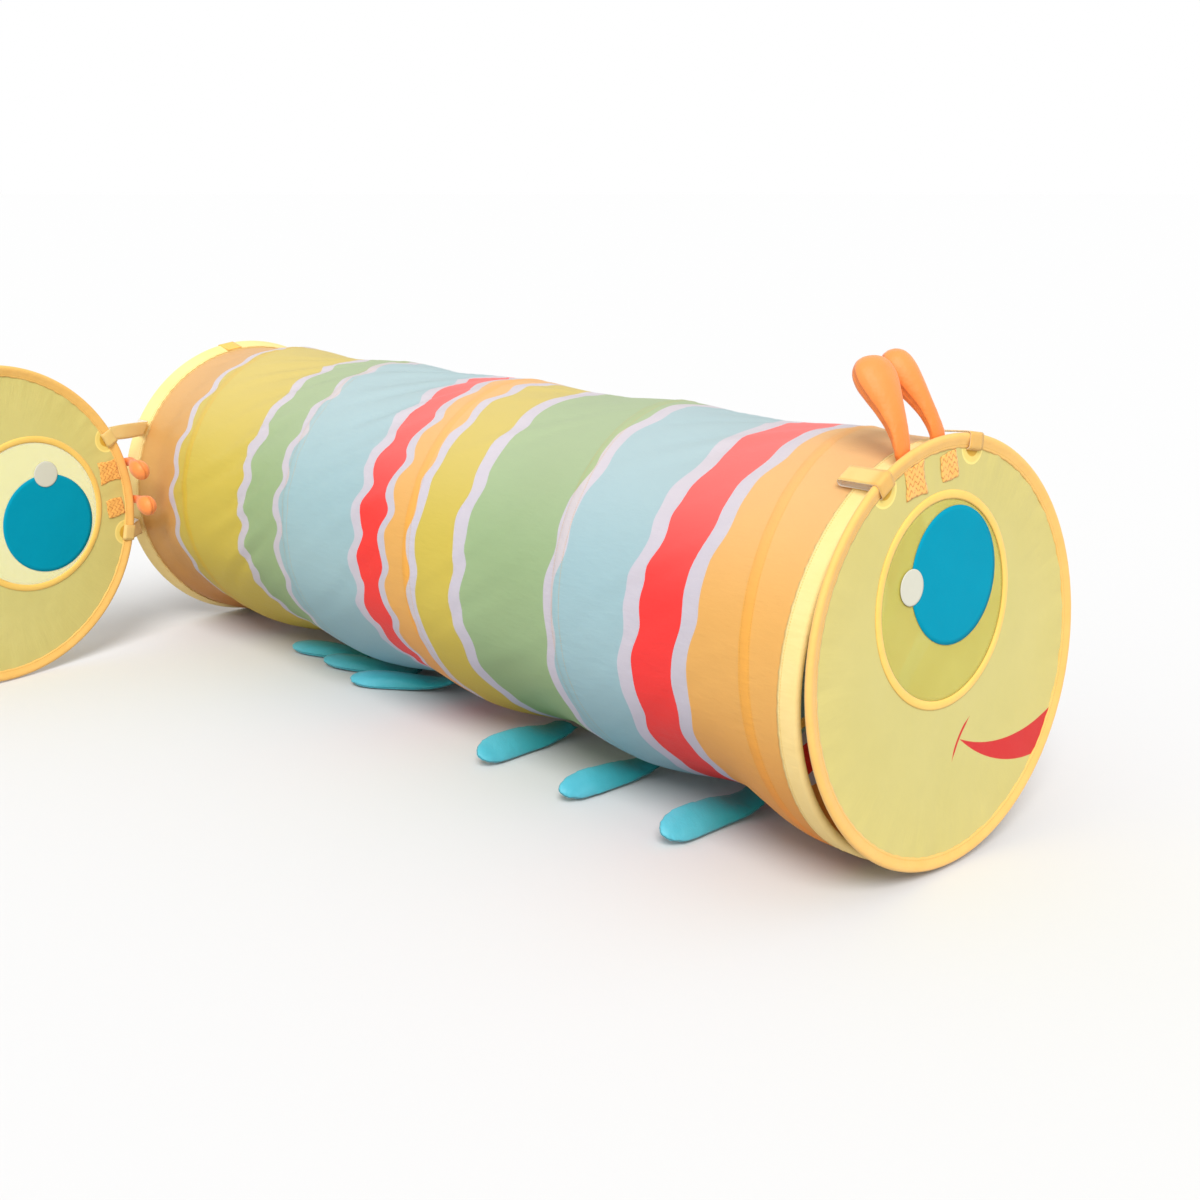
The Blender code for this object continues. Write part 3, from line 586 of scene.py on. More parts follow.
# Points of the plies: from the sewn edge and from the ring, in millimetres.
HEM_OUTER_PLY = ((0, -0.1), (3, -0.45), (9, -0.05))
HEM_INNER_PLY = ((9, -4.6), (3, -3.1), (0, -2.7), (0.3, -2.2), (6, -1.7), (0.3, -1.2))
HEM_SEAM = 3.5 * MM
PUCKER_REACH = 8 * MM
PUCKER_HEIGHT = 0.8 * MM


def hem_finish():
    """Yellow tape with a row of stitches round the tunnel, close to its sewn edge."""
    finish = Finish("hem_tape", Roughness=0.66, Specular_IOR_Level=0.15)
    place = finish.place()
    x, y, z = finish.split(place)
    arc = (-y).math("ARCTAN2", z - AXIS_HEIGHT) * RING_RADIUS
    width = (x < 0.0) * (HEM_WIDTHS["rear"] - HEM_WIDTHS["front"]) + HEM_WIDTHS["front"]
    thread = finish.stitches(abs(x) + width - (HALF_LENGTH + HEM_SEAM), arc)
    tape = finish.mix(finish.noise(place, 22.0, 4.0), srgb(236, 205, 130), srgb(243, 217, 154))
    finish.paint(finish.mix(thread * 0.5, tape, srgb(216, 168, 60)))
    threads = finish.weave(x + arc, x - arc, 1.6 * MM)
    puckers = finish.noise(finish.join(x * 0.4, y * 2.0, z * 2.0), 60.0, 3.0)
    finish.bump(threads * (0.05 * MM) + puckers * (1.2 * MM) - thread * (0.3 * MM), 0.8)
    return finish.material


HEM_TAPE = hem_finish()


def hem_points(facing, width):
    """A closed hem section carried round the ring: a roll over the hoop, then two flat plies.

    The sewn edge is pulled in by sines of the angle, as close puckers.
    """
    edge = HALF_LENGTH - width
    turn = np.linspace(0.5 * np.pi, -0.5 * np.pi, HEM_ROLL_POINTS)
    roll_x = HALF_LENGTH + HEM_REACH - HEM_ROLL + HEM_ROLL * np.cos(turn)
    roll = np.column_stack((roll_x, HEM_ROLL * (np.sin(turn) - 1)))
    plies = [np.array(ply) * MM + (edge, 0) for ply in (HEM_OUTER_PLY, HEM_INNER_PLY)]
    x, lift = np.concatenate((plies[0], roll, plies[1])).T[:, :, None]
    angle = circle(HEM_COLUMNS)
    near_edge = np.clip((edge + PUCKER_REACH - x) / PUCKER_REACH, 0, 1)
    pucker = np.sin(111 * angle) + 0.6 * np.sin(67 * angle + 1.3)
    shift = near_edge * pucker * PUCKER_HEIGHT
    radius = RING_RADIUS + lift - drawn_in(facing * x)
    radii = np.minimum(radius + 0.4 * shift, floor_limit(angle) - RING_RADIUS + radius)
    return around(facing * (x + shift), angle, radii)


def show_steel(*names):
    """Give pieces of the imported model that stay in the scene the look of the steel."""
    for name in names:
        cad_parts[name].data.materials.clear()
        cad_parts[name].data.materials.append(STEEL)


for end_name, facing, body in (("front", 1, "front_end"), ("rear", -1, "rear_end")):
    points = hem_points(facing, HEM_WIDTHS[end_name])[:, ::facing]
    mesh = grid_mesh(points, wrap_rows=True)
    add_piece(f"{end_name}_hem_tape", mesh, HEM_TAPE, body, "yellow_cloth", f"{end_name}_hem")
    show_steel(f"{end_name}_hoop", f"{end_name}_hoop_ferrule")

# The face flaps. Each is a hoop in a folded binding with a face cloth drawn over it, a round
# see-through window with its own binding, a blue pupil and an off-white glint.
FLAP_RADIUS = 250 * MM
FLAP_STANDOFF = 13.5 * MM
FLAP_CLEARANCE = 1 * MM
FLAP_SIDEWAYS = {"front": -12 * MM, "rear": 0}
FLAP_CLOCKS = {"front": math.radians(10), "rear": math.radians(82)}
FLAP_OPENINGS = {"front": math.radians(4), "rear": math.radians(188)}
HINGE_CLOCKS = {"front": math.radians(10), "rear": math.radians(90)}
HINGE_X = 715 * MM
HINGE_OUTSIDE = 20 * MM
BINDING_HALF = 4.2 * MM
WINDOW_RADIUS = 119 * MM
WINDOW_UP = 66 * MM
FACE_RADIUS = FLAP_RADIUS - 9 * MM
FACE_HOLE_RADIUS = WINDOW_RADIUS - 1 * MM
FILM_RADIUS = WINDOW_RADIUS - 1.5 * MM
STRAP_ANGLE = math.radians(20)
TAB_REACH = 236 * MM
TAB_RADIUS = 21 * MM
SLOT_RADIUS = 12 * MM
PUPIL_RADIUS = 79 * MM
PUPIL_PLACE = (22 * MM, 88.5 * MM)
GLINT_RADIUS = 20.5 * MM
GLINT_PLACE = (-56 * MM, 102 * MM)


def flap_frame(end_name, facing):
    """A flap's own frame at rest: X out of its face, Y to its right, Z up to its straps."""
    clock, hinge_clock = FLAP_CLOCKS[end_name], HINGE_CLOCKS[end_name]
    out = Vector((facing, 0, 0))
    up = Vector((0, -math.sin(clock), math.cos(clock)))
    closed = Matrix((out, up.cross(out), up)).transposed().to_4x4()
    standing_x = facing * (HALF_LENGTH + FLAP_STANDOFF)
    closed.translation = (standing_x, FLAP_SIDEWAYS[end_name], FLAP_RADIUS + FLAP_CLEARANCE)
    hinge_place = around(facing * HINGE_X, hinge_clock, RING_RADIUS + HINGE_OUTSIDE)
    hinge = Matrix.Translation(hinge_place)
    line = Vector((0, math.cos(hinge_clock), math.sin(hinge_clock))) * -facing
    opened = Matrix.Rotation(FLAP_OPENINGS[end_name], 4, line)
    return hinge @ opened @ hinge.inverted() @ closed


FLAPS = {"front": flap_frame("front", 1), "rear": flap_frame("rear", -1)}


def in_world(placed, out, right, up):
    """Points given in a flap's own directions, as an array of world points."""
    out, right, up = np.broadcast_arrays(out, right, up)
    local = np.stack((out, right, up, np.ones_like(out)), axis=-1)
    return (local @ np.array(placed).T)[..., :3]


def vertex_places(mesh):
    """Where a mesh's vertices are, as an array of (x, y, z)."""
    places = np.empty(len(mesh.vertices) * 3)
    mesh.vertices.foreach_get("co", places)
    return places.reshape(-1, 3)


def local_uv(mesh, placed):
    """Give every corner a UV of its right and up in the flap's frame, in metres."""
    inverse = np.array(placed.inverted())
    write_uv(mesh, (vertex_places(mesh) @ inverse[:3, :3].T + inverse[:3, 3])[:, 1:])


SMILE_RED = srgb(216, 30, 36)
PRINT_EDGE = 0.4 * MM
SMILE_LOWER = (185 * MM, 50 * MM, 241.6 * MM)
SMILE_UPPER = (138.8 * MM, 101.7 * MM, 249.2 * MM)
DIMPLE = (64.1 * MM, -172.4 * MM, 94.9 * MM)
DIMPLE_MIDDLE = (1.4 * MM, -105 * MM)
DIMPLE_LINE = (0.733, 0.681)
DIMPLE_HALF = 29 * MM
DIMPLE_THICKNESS = 3.2 * MM


def face_finish():
    """Lemon nylon: creases that run to the rim, and a smile made of two round arcs."""
    finish = Finish("face_cloth", Roughness=0.6, Specular_IOR_Level=0.3, Sheen_Weight=0.15)
    place = finish.place("UV")
    right, up, _ = finish.split(place)
    reach = (right * right + up * up).math("SQRT")
    turn = up.math("ARCTAN2", right)
    cloth = finish.mix(finish.noise(place, 9.0, 4.0), srgb(209, 199, 122), srgb(220, 209, 137))
    cloth = finish.mix(finish.rising(reach, 0.10, 0.25) * 0.15, cloth, srgb(228, 202, 106))

    def distance_from(at_right, at_up):
        across, along = right - at_right, up - at_up
        return (across * across + along * along).math("SQRT")

    def disc(at_right, at_up, radius):
        away = distance_from(at_right, at_up)
        return finish.falling(away, radius - PRINT_EDGE, radius + PRINT_EDGE)

    for side in (-1, 1):
        tab_place = (TAB_REACH * math.sin(side * STRAP_ANGLE), TAB_REACH * math.cos(STRAP_ANGLE))
        tab = disc(*tab_place, TAB_RADIUS)
        cloth = finish.mix(tab * 0.75, cloth, srgb(250, 222, 120))
        stitching = tab * (1 - disc(*tab_place, TAB_RADIUS - 2.5 * MM))
        cloth = finish.mix(stitching, cloth, srgb(255, 232, 140))
        # Each slot is painted as a dark ochre disc: painted shade in the opening that the strap goes
        # through.
        cloth = finish.mix(disc(*tab_place, SLOT_RADIUS), cloth, srgb(216, 166, 50))
    crescent = disc(*SMILE_LOWER) * (1 - disc(*SMILE_UPPER))
    from_line = abs(distance_from(*DIMPLE[:2]) - DIMPLE[2])
    along = (right - DIMPLE_MIDDLE[0]) * DIMPLE_LINE[0] + (up - DIMPLE_MIDDLE[1]) * DIMPLE_LINE[1]
    taper = finish.falling(abs(along), 0.5 * DIMPLE_HALF, DIMPLE_HALF)
    dimple = finish.falling(from_line - taper * (DIMPLE_THICKNESS / 2), 0.0, PRINT_EDGE)
    dimple = dimple * (abs(along) < DIMPLE_HALF)
    finish.paint(finish.mix(crescent.math("MAXIMUM", dimple), cloth, SMILE_RED))

    creases = finish.noise(finish.join(turn * 9.0, reach * 5.0, 0.0), 1.6, 3.0, 0.6)
    near_rim = finish.rising(reach, 0.13, 0.235)
    broad = finish.noise(place, 13.0, 3.0)
    threads = finish.weave(right, up, 0.9 * MM)
    finish.bump(creases * near_rim * (1.6 * MM) + broad * (4 * MM) + threads * (0.03 * MM), 0.6)
    finish.let_light_through(0.2, srgb(250, 242, 160))
    return finish.material


def window_finish():
    """Tinted see-through film: smooth, with a few soft ripples. Its pale yellow-green is
    painted brighter than its tint, as painted light from the tunnel's lit inside.
    """
    finish = Finish("window_film", Roughness=0.22, Specular_IOR_Level=0.4)
    ripples = finish.noise(finish.place("UV"), 11.0, 2.0)
    # Painted light: the film's colours are brighter than its own tint, for the lit inside seen
    # through it.
    finish.paint(finish.mix(ripples, srgb(228, 220, 104), srgb(236, 230, 126)))
    finish.set_socket(finish.shader.inputs["Alpha"], ripples * 0.1 + 0.36)
    finish.bump(ripples * (3 * MM), 0.5)
    return finish.material


def patch_finish(name, dark, light):
    """A patch of bonded satin cloth: close weave and a slightly uneven colour."""
    finish = Finish(name, Roughness=0.6, Specular_IOR_Level=0.05)
    place = finish.place("UV")
    right, up, _ = finish.split(place)
    cloud = finish.noise(place, 14.0, 4.0)
    finish.paint(finish.mix(cloud, dark, light))
    finish.bump(cloud * (3 * MM) + finish.weave(right, up, 0.8 * MM) * (0.04 * MM), 0.5)
    return finish.material


FACE_CLOTH = face_finish()
WINDOW_FILM = window_finish()
PUPIL_BLUE = patch_finish("pupil_satin", srgb(0, 138, 166), srgb(0, 148, 176))
GLINT_WHITE = patch_finish("glint_satin", srgb(200, 198, 182), srgb(208, 206, 192))
FACE_RINGS = 46
FACE_SPOKES = 240
FACE_SEEDS = {"front": 1.0, "rear": 2.6}
PATCH_SPOKES = 96
PATCH_RINGS = 14
RIM_SPOKES = 360
RIM_PUCKER = 0.35 * MM
PUCKER_DEPTH = 12 * MM
TRIM_SPOKES = 192
BINDING_SEAM = 14 * MM
BINDING_ROLL_POINTS = 9
# Points of a section: out of the face and away from its circle, in millimetres.
BINDING_PLY = ((3.6, -8), (1.9, -11), (1.4, -15), (1.0, -17))
TRIM_SECTION = (
    (-0.4, -4.5), (0.9, -5.2), (1.9, -3.5), (2.2, 0.0), (1.9, 3.5), (0.9, 5.2), (-0.4, 4.5)
)
# Each patch's name, middle, radius, look, slot and node. Its heights are those of its back, its
# thickness and its crown, in millimetres.
WINDOW_PATCHES = (
    ("film", (0, WINDOW_UP), FILM_RADIUS, (-0.2, 0.3, 0), WINDOW_FILM, "window_net", "window"),
    ("pupil_patch", PUPIL_PLACE, PUPIL_RADIUS, (0.5, 0.5, 0.3), PUPIL_BLUE, "blue_cloth", "pupil"),
    ("glint_patch", GLINT_PLACE, GLINT_RADIUS, (1.5, 0.5, 0.2), GLINT_WHITE, "white_cloth", "glint"),
)


def face_relief(reach, turn, seed):
    """Height of the face cloth out of its plane: shallow radial tucks that fade inwards."""
    tucks = np.sin(34 * turn + seed) + 0.7 * np.sin(21 * turn + 2.1 * seed)
    tucks += 0.5 * np.sin(57 * turn + 0.7 * seed)
    edge = np.clip((reach - 0.17) / 0.06, 0, 1) ** 2
    slack = np.sin(3 * turn + seed) * np.clip((reach - 0.12) / 0.10, 0, 1)
    return 0.35 * MM * tucks * edge + 0.5 * MM * slack * (1 - edge)


def face_mesh(placed, seed):
    """Rings from the window's edge to the rim: each point lies a share of the way along."""
    turn = circle(FACE_SPOKES)
    share = np.linspace(0, 1, FACE_RINGS)[:, None]
    inner_right = FACE_HOLE_RADIUS * np.sin(turn)
    inner_up = WINDOW_UP + FACE_HOLE_RADIUS * np.cos(turn)
    right = inner_right + (FACE_RADIUS * np.sin(turn) - inner_right) * share
    up = inner_up + (FACE_RADIUS * np.cos(turn) - inner_up) * share
    out = face_relief(np.hypot(right, up), np.arctan2(right, up), seed)
    mesh = grid_mesh(in_world(placed, out, right, up))
    local_uv(mesh, placed)
    return mesh


def ring_trim(placed, centre_up, radius, section, pucker, count):
    """A binding: a rounded section carried round a circle, its edges waved by a sine."""
    turn = circle(count)
    out, lift = np.array(section).T[:, :, None]
    waves = np.sin(count / 4 * turn) + 0.7 * np.sin(count / 6.4 * turn + 0.8)
    reach = radius + lift + pucker * waves * np.clip(-lift / PUCKER_DEPTH, 0, 1)
    points = in_world(placed, out, reach * np.sin(turn), centre_up + reach * np.cos(turn))
    mesh = grid_mesh(points, wrap_rows=True)
    close_up(mesh)
    local_uv(mesh, placed)
    return mesh


def round_patch(placed, centre, radius, out, thickness, crown):
    """A round patch: a disc grid, crowned by a squared share of its radius, with a wall."""
    turn = circle(PATCH_SPOKES)
    share = np.linspace(0.004, 1, PATCH_RINGS)[:, None]
    right = centre[0] + radius * share * np.sin(turn)
    up = centre[1] + radius * share * np.cos(turn)
    front = in_world(placed, out + thickness + crown * (1 - share ** 2), right, up)
    back = in_world(placed, out + crown * (1 - share ** 2) * 0.8, right, up)
    mesh = grid_mesh(np.concatenate((front, back[::-1])))
    close_up(mesh, PATCH_SPOKES)
    local_uv(mesh, placed)
    return mesh


def binding_section():
    """Half-round over the hoop, then two plies that close on the face cloth."""
    roll = np.linspace(-np.pi / 2, np.pi / 2, BINDING_ROLL_POINTS)
    section = [(BINDING_HALF * math.sin(t), (math.cos(t) - 1) * BINDING_HALF) for t in roll]
    ply = [(out * MM, reach * MM) for out, reach in BINDING_PLY]
    return section + ply + mirrored(ply)


def binding_finish():
    """Flap binding tape with one row of stitches near its inner edge."""
    finish = Finish("binding_tape", Roughness=0.66, Sheen_Weight=0.2, Specular_IOR_Level=0.25)
    place = finish.place("UV")
    right, up, _ = finish.split(place)
    reach = (right * right + up * up).math("SQRT")
    arc = up.math("ARCTAN2", right) * FLAP_RADIUS
    thread = finish.stitches(reach - (FLAP_RADIUS - BINDING_SEAM), arc)
    tape = finish.mix(finish.noise(place, 30.0, 4.0), srgb(230, 176, 88), srgb(238, 190, 108))
    finish.paint(finish.mix(thread * 0.5, tape, srgb(214, 164, 58)))
    puckers = finish.noise(place, 95.0, 3.0)
    ribs = arc.wave(1.2 * MM)
    finish.bump(ribs * (0.05 * MM) + puckers * (0.9 * MM) - thread * (0.3 * MM), 0.8)
    return finish.material


BINDING_TAPE = binding_finish()


def flap_piece(end_name, part, mesh, finish, slot, node):
    """Put a piece into the scene that rides on a flap and stands for one of its nodes."""
    name = f"{end_name}_{part}"
    return add_piece(name, mesh, finish, f"{end_name}_flap", slot, f"{end_name}_{node}")


for end_name, placed in FLAPS.items():
    mesh = face_mesh(placed, FACE_SEEDS[end_name])
    face = flap_piece(end_name, "face", mesh, FACE_CLOTH, "lemon_cloth", "flap_panel")
    give_thickness(face, CLOTH, offset=0.0)
    mesh = ring_trim(placed, 0, FLAP_RADIUS, binding_section(), RIM_PUCKER, RIM_SPOKES)
    flap_piece(end_name, "rim", mesh, BINDING_TAPE, "yellow_cloth", "flap_binding")
    mesh = ring_trim(placed, WINDOW_UP, WINDOW_RADIUS, np.array(TRIM_SECTION) * MM, 0, TRIM_SPOKES)
    flap_piece(end_name, "window_trim", mesh, YELLOW_TAPE, "yellow_cloth", "window_binding")
    for part, centre, radius, heights, finish, slot, node in WINDOW_PATCHES:
        mesh = round_patch(placed, centre, radius, *(height * MM for height in heights))
        flap_piece(end_name, part, mesh, finish, slot, node)
    show_steel(f"{end_name}_flap_hoop", f"{end_name}_flap_hoop_ferrule")

# The feelers. Two stuffed clubs of orange nylon are sewn behind each flap's top edge, and each
# is held by a patch of the same cloth sewn on the face with a dense zigzag. They are sewn flat
# and a cloth simulation fills them out, so their edge seams draw in.
FEELER_ANGLE = math.radians(7.4)
FEELER_HEIGHT = 100 * MM
FEELER_SIDEWAYS = {"left": 40 * MM, "right": -16 * MM}
FEELER_WIDTHS = {"left": 1.0, "right": 0.74}
ANCHORS = {
    "left": (-28 * MM, 214 * MM, 18 * MM, 18 * MM),
    "right": (34 * MM, 212 * MM, 15 * MM, 15 * MM),
}
ANCHOR_POINTS = 16
FEELER_HELD = {"front": 0.2, "rear": 0.45}
# Root to tip: out, up, half width and half depth in the flap's frame, in millimetres.
FEELER_STATIONS = {
    "front": (
        (-8.6, 236, 14, 3.6),
        (-10, 254, 14, 5),
        (-18, 274, 15, 9),
        (-28, 291, 18.5, 13),
        (-38, 306, 23.5, 16.5),
        (-47, 319, 27, 18.5),
        (-55, 331, 25, 17),
        (-61, 339, 16, 10),
        (-63, 342, 5, 3),
    ),
    "rear": (
        (-8.6, 236, 9.5, 3.6),
        (-8.4, 252, 9, 3.8),
        (-1, 257.5, 9, 4.6),
        (13, 256, 9.5, 6.5),
        (26, 250, 11, 9),
        (42, 242, 14.5, 12),
        (58, 238, 17, 14),
        (70, 236, 13, 11),
        (76, 235.5, 4, 3),
    ),
}
LIMB_COLUMNS = 48
LIMB_ROWS = 56
LIMB_VOXEL = 4 * MM
FILLING_FRAMES = 16
FILLING_PRESSURE = 4.0
FILLING_QUALITY = 6
FILLING_MASS = 0.15


def stuffed_finish(name, dark, light, seam_colour, root_colour):
    """Stuffed nylon: fine weave, gathers beside the edge seam and a deeper colour at the root.
    On the legs that deeper colour is painted shade under the belly.

    The UV map gives the share of the half depth, which is nought at the seam, and the share of
    the length.
    """
    finish = Finish(name, Roughness=0.5, Sheen_Weight=0.2, Specular_IOR_Level=0.4)
    place = finish.place()
    x, y, z = finish.split(place)
    depth, along, _ = finish.split(finish.place("UV"))
    cloth = finish.mix(finish.noise(place, 26.0, 4.0), dark, light)
    # Painted shade on the legs: the colour deepens towards the root, where they run in under the
    # belly.
    cloth = finish.mix(finish.falling(along, 0.1, 0.75), cloth, root_colour)
    seam = finish.falling(abs(depth), 0.05, 0.16)
    finish.paint(finish.mix(seam * 0.6, cloth, seam_colour))
    gathers = finish.noise(finish.join(x, y, z * 0.3), 130.0, 3.0)
    beside_seam = finish.falling(abs(depth), 0.1, 0.8)
    crumple = finish.noise(place, 38.0, 4.0, 0.6)
    threads = finish.weave(x + z, y - z, 0.9 * MM)
    height = crumple * (2.6 * MM) + gathers * beside_seam * (1.6 * MM) - seam * (0.8 * MM)
    finish.bump(height + threads * (0.03 * MM), 0.8)
    return finish.material


FEELER_ORANGE = stuffed_finish(
    "feeler_nylon", srgb(240, 130, 56), srgb(246, 148, 74), srgb(200, 104, 40), srgb(240, 128, 48)
)


def smooth_route(stations, count):
    """A smooth run through stations: each column of numbers as a cubic through its knots."""
    stations = np.array(stations, float)
    knots = np.linspace(0, 1, len(stations))
    at = np.linspace(0, 1, count)
    slopes = np.gradient(stations, knots, axis=0)
    k = np.clip(np.searchsorted(knots, at, side="right") - 1, 0, len(knots) - 2)
    width = knots[1] - knots[0]
    t = ((at - knots[k]) / width)[:, None]
    first = (2 * t ** 3 - 3 * t ** 2 + 1) * stations[k]
    first += (t ** 3 - 2 * t ** 2 + t) * width * slopes[k]
    last = (3 * t ** 2 - 2 * t ** 3) * stations[k + 1] + (t ** 3 - t ** 2) * width * slopes[k + 1]
    return first + last


def unit(vectors):
    """The same directions with a length of one."""
    return vectors / np.linalg.norm(vectors, axis=1, keepdims=True)


class Limb:
    """A stuffed limb: ovals of a half width and a half depth carried along a centre line."""

    def __init__(self, centres, half_widths, half_depths, across):
        self.centres, self.half_widths, self.half_depths = centres, half_widths, half_depths
        along = unit(np.gradient(centres, axis=0))
        self.through = unit(np.cross(along, across))
        self.side = np.cross(self.through, along)

    def mesh(self):
        turn = circle(LIMB_COLUMNS)[..., None]
        sideways = self.side[:, None] * self.half_widths[:, None, None] * np.cos(turn)
        outward = self.through[:, None] * self.half_depths[:, None, None] * np.sin(turn)
        made = grid_mesh(self.centres[:, None] + sideways + outward)
        close_up(made, LIMB_COLUMNS)
        return made

    def nearest(self, places):
        """The number of the centre that lies nearest to each place."""
        return np.linalg.norm(places[:, None] - self.centres[None], axis=2).argmin(axis=1)

    def unwrap(self, mesh):
        """Write each corner's share of the half depth and of the length into the UV map."""
        places = vertex_places(mesh)
        near = self.nearest(places)
        depth = np.sum((places - self.centres[near]) * self.through[near], axis=1)
        write_uv(mesh, np.column_stack((depth / self.half_depths.max(), near / len(self.centres))))


def settle(piece):
    """Apply a piece's modifiers as they stand in this frame."""
    graph = bpy.context.evaluated_depsgraph_get()
    settled = bpy.data.meshes.new_from_object(piece.evaluated_get(graph))
    piece.modifiers.clear()
    piece.data = settled


def fill_out(piece, limb, held_share):
    """Fill a flat limb by the pressure of a cloth simulation, holding its sewn root still.

    The mesh is first remade of even squares, and the result gets one subdivision.
    """
    even = piece.modifiers.new("Even", "REMESH")
    even.mode = "VOXEL"
    even.voxel_size = LIMB_VOXEL
    settle(piece)
    limb.unwrap(piece.data)
    near = limb.nearest(vertex_places(piece.data))
    held = np.flatnonzero(near < held_share * len(limb.centres)).tolist()
    piece.vertex_groups.new(name="held").add(held, 1.0, "REPLACE")
    filling = piece.modifiers.new("Filling", "CLOTH")
    filling.settings.quality = FILLING_QUALITY
    filling.settings.mass = FILLING_MASS
    filling.settings.vertex_group_mass = "held"
    filling.settings.use_pressure = True
    filling.settings.uniform_pressure_force = FILLING_PRESSURE
    filling.settings.effector_weights.gravity = 0
    for moment in range(1, FILLING_FRAMES + 1):
        bpy.context.scene.frame_set(moment)
    settle(piece)
    bpy.context.scene.frame_set(1)
    finer = piece.modifiers.new("Finer", "SUBSURF")
    finer.levels = finer.render_levels = 1
    piece.data.shade_smooth()


def anchor_finish():
    """Orange nylon patch with rows of zigzag stitches that run over it at a slant."""
    finish = Finish("anchor_cloth", Roughness=0.6, Sheen_Weight=0.2, Specular_IOR_Level=0.3)
    place = finish.place("UV")
    right, up, _ = finish.split(place)
    cloud = finish.noise(place, 40.0, 4.0)
    cloth = finish.mix(cloud, srgb(238, 172, 80), srgb(242, 190, 102))
    zigzag = (right.wave(9 * MM) * (2.4 * MM) + up) / (8 * MM)
    row = abs(zigzag.math("FRACT") - 0.5)
    dashes = finish.noise(place, 420.0, 1.0) > 0.45
    thread = finish.falling(row, 0.10, 0.22) * dashes
    finish.paint(finish.mix(thread * 0.85, cloth, srgb(204, 128, 52)))
    finish.bump(cloud * (3 * MM) - thread * (0.3 * MM), 0.7)
    return finish.material


ANCHOR_CLOTH = anchor_finish()


def feeler_limb(end_name, side_name, sign):
    """A feeler from its stations, leaning out to its side. The front ones also bend there."""
    tilted = FLAPS[end_name] @ Matrix.Rotation(-sign * FEELER_ANGLE, 4, "X")
    run = smooth_route(FEELER_STATIONS[end_name], LIMB_ROWS) * MM
    risen = np.clip((run[:, 1] - FLAP_RADIUS) / FEELER_HEIGHT, 0, 1)
    sideways = FEELER_SIDEWAYS[side_name] * risen * (end_name == "front")
    fullness = 1 + (FEELER_WIDTHS[side_name] - 1) * np.clip(risen * 3, 0, 1)
    centres = in_world(tilted, run[:, 0], sideways, run[:, 1])
    across = np.array(tilted.to_3x3() @ Vector((0, 1, 0)))
    return Limb(centres, run[:, 2] * fullness, run[:, 3], across)


def anchor_mesh(placed, sign, middle_right, middle_up, half_right, half_up):
    """A square patch on a flap's face, its edges and its surface waved by sines."""
    square = np.linspace(-1, 1, ANCHOR_POINTS)
    right, up = np.meshgrid(square, square, indexing="ij")
    wander_right = 1 + 0.08 * np.sin(2.2 * up + 2 * sign) + 0.02 * np.sin(9 * up)
    wander_up = 1 + 0.07 * np.sin(2 * right + sign) + 0.02 * np.sin(8 * right + 1)
    out = 1.0 * MM + 0.25 * MM * np.sin(5 * right + 3 * up)
    right_place = middle_right + half_right * wander_right * right
    up_place = middle_up + half_up * wander_up * up
    mesh = grid_mesh(in_world(placed, out, right_place, up_place), wrap_columns=False)
    local_uv(mesh, placed)
    return mesh


for end_name, placed in FLAPS.items():
    for side_name, sign in (("left", -1), ("right", 1)):
        limb = feeler_limb(end_name, side_name, sign)
        part, node = f"feeler_{side_name}", f"antenna_{side_name}"
        feeler = flap_piece(end_name, part, limb.mesh(), FEELER_ORANGE, "orange_cloth", node)
        fill_out(feeler, limb, FEELER_HELD[end_name])
        mesh = anchor_mesh(placed, sign, *ANCHORS[side_name])
        part, node = f"anchor_{side_name}", f"antenna_anchor_{side_name}"
        anchor = flap_piece(end_name, part, mesh, ANCHOR_CLOTH, "orange_cloth", node)
        give_thickness(anchor, CLOTH, offset=0.0)

# The straps. Two bands of yellow cloth with a white back are sewn on the outside of the tunnel at
# each hem. They pass over the flap's rim and end in the slots of its face, so that the flap hangs
# and swings on them. The front ones first fold back on themselves in a loop.
STRAP_WIDTH = 25 * MM
STRAP_THICKNESS = 1 * MM
STRAP_STEPS = 90
STRAP_COLUMNS = 7
CORNER_RADIUS = 4 * MM
STRAP_LOOPS = {"left": 9 * MM, "right": 4.5 * MM}
STRAP_LIFT = 0.9 * MM
STRAP_FOLD_X = HINGE_X - 5 * MM
STRAP_ON_FACE = 17 * MM
RIM_LIFT = BINDING_HALF + 1 * MM
RIM_CLEARANCE = 1.3 * MM
# Where a strap passes on its flap: height over the face and distance from the middle.
STRAP_ON_FLAP = (
    (-RIM_LIFT, FLAP_RADIUS + RIM_CLEARANCE),
    (RIM_LIFT, FLAP_RADIUS + RIM_CLEARANCE),
    (RIM_LIFT, FLAP_RADIUS - STRAP_ON_FACE),
    (1 * MM, FLAP_RADIUS - STRAP_ON_FACE - 2 * MM),
)


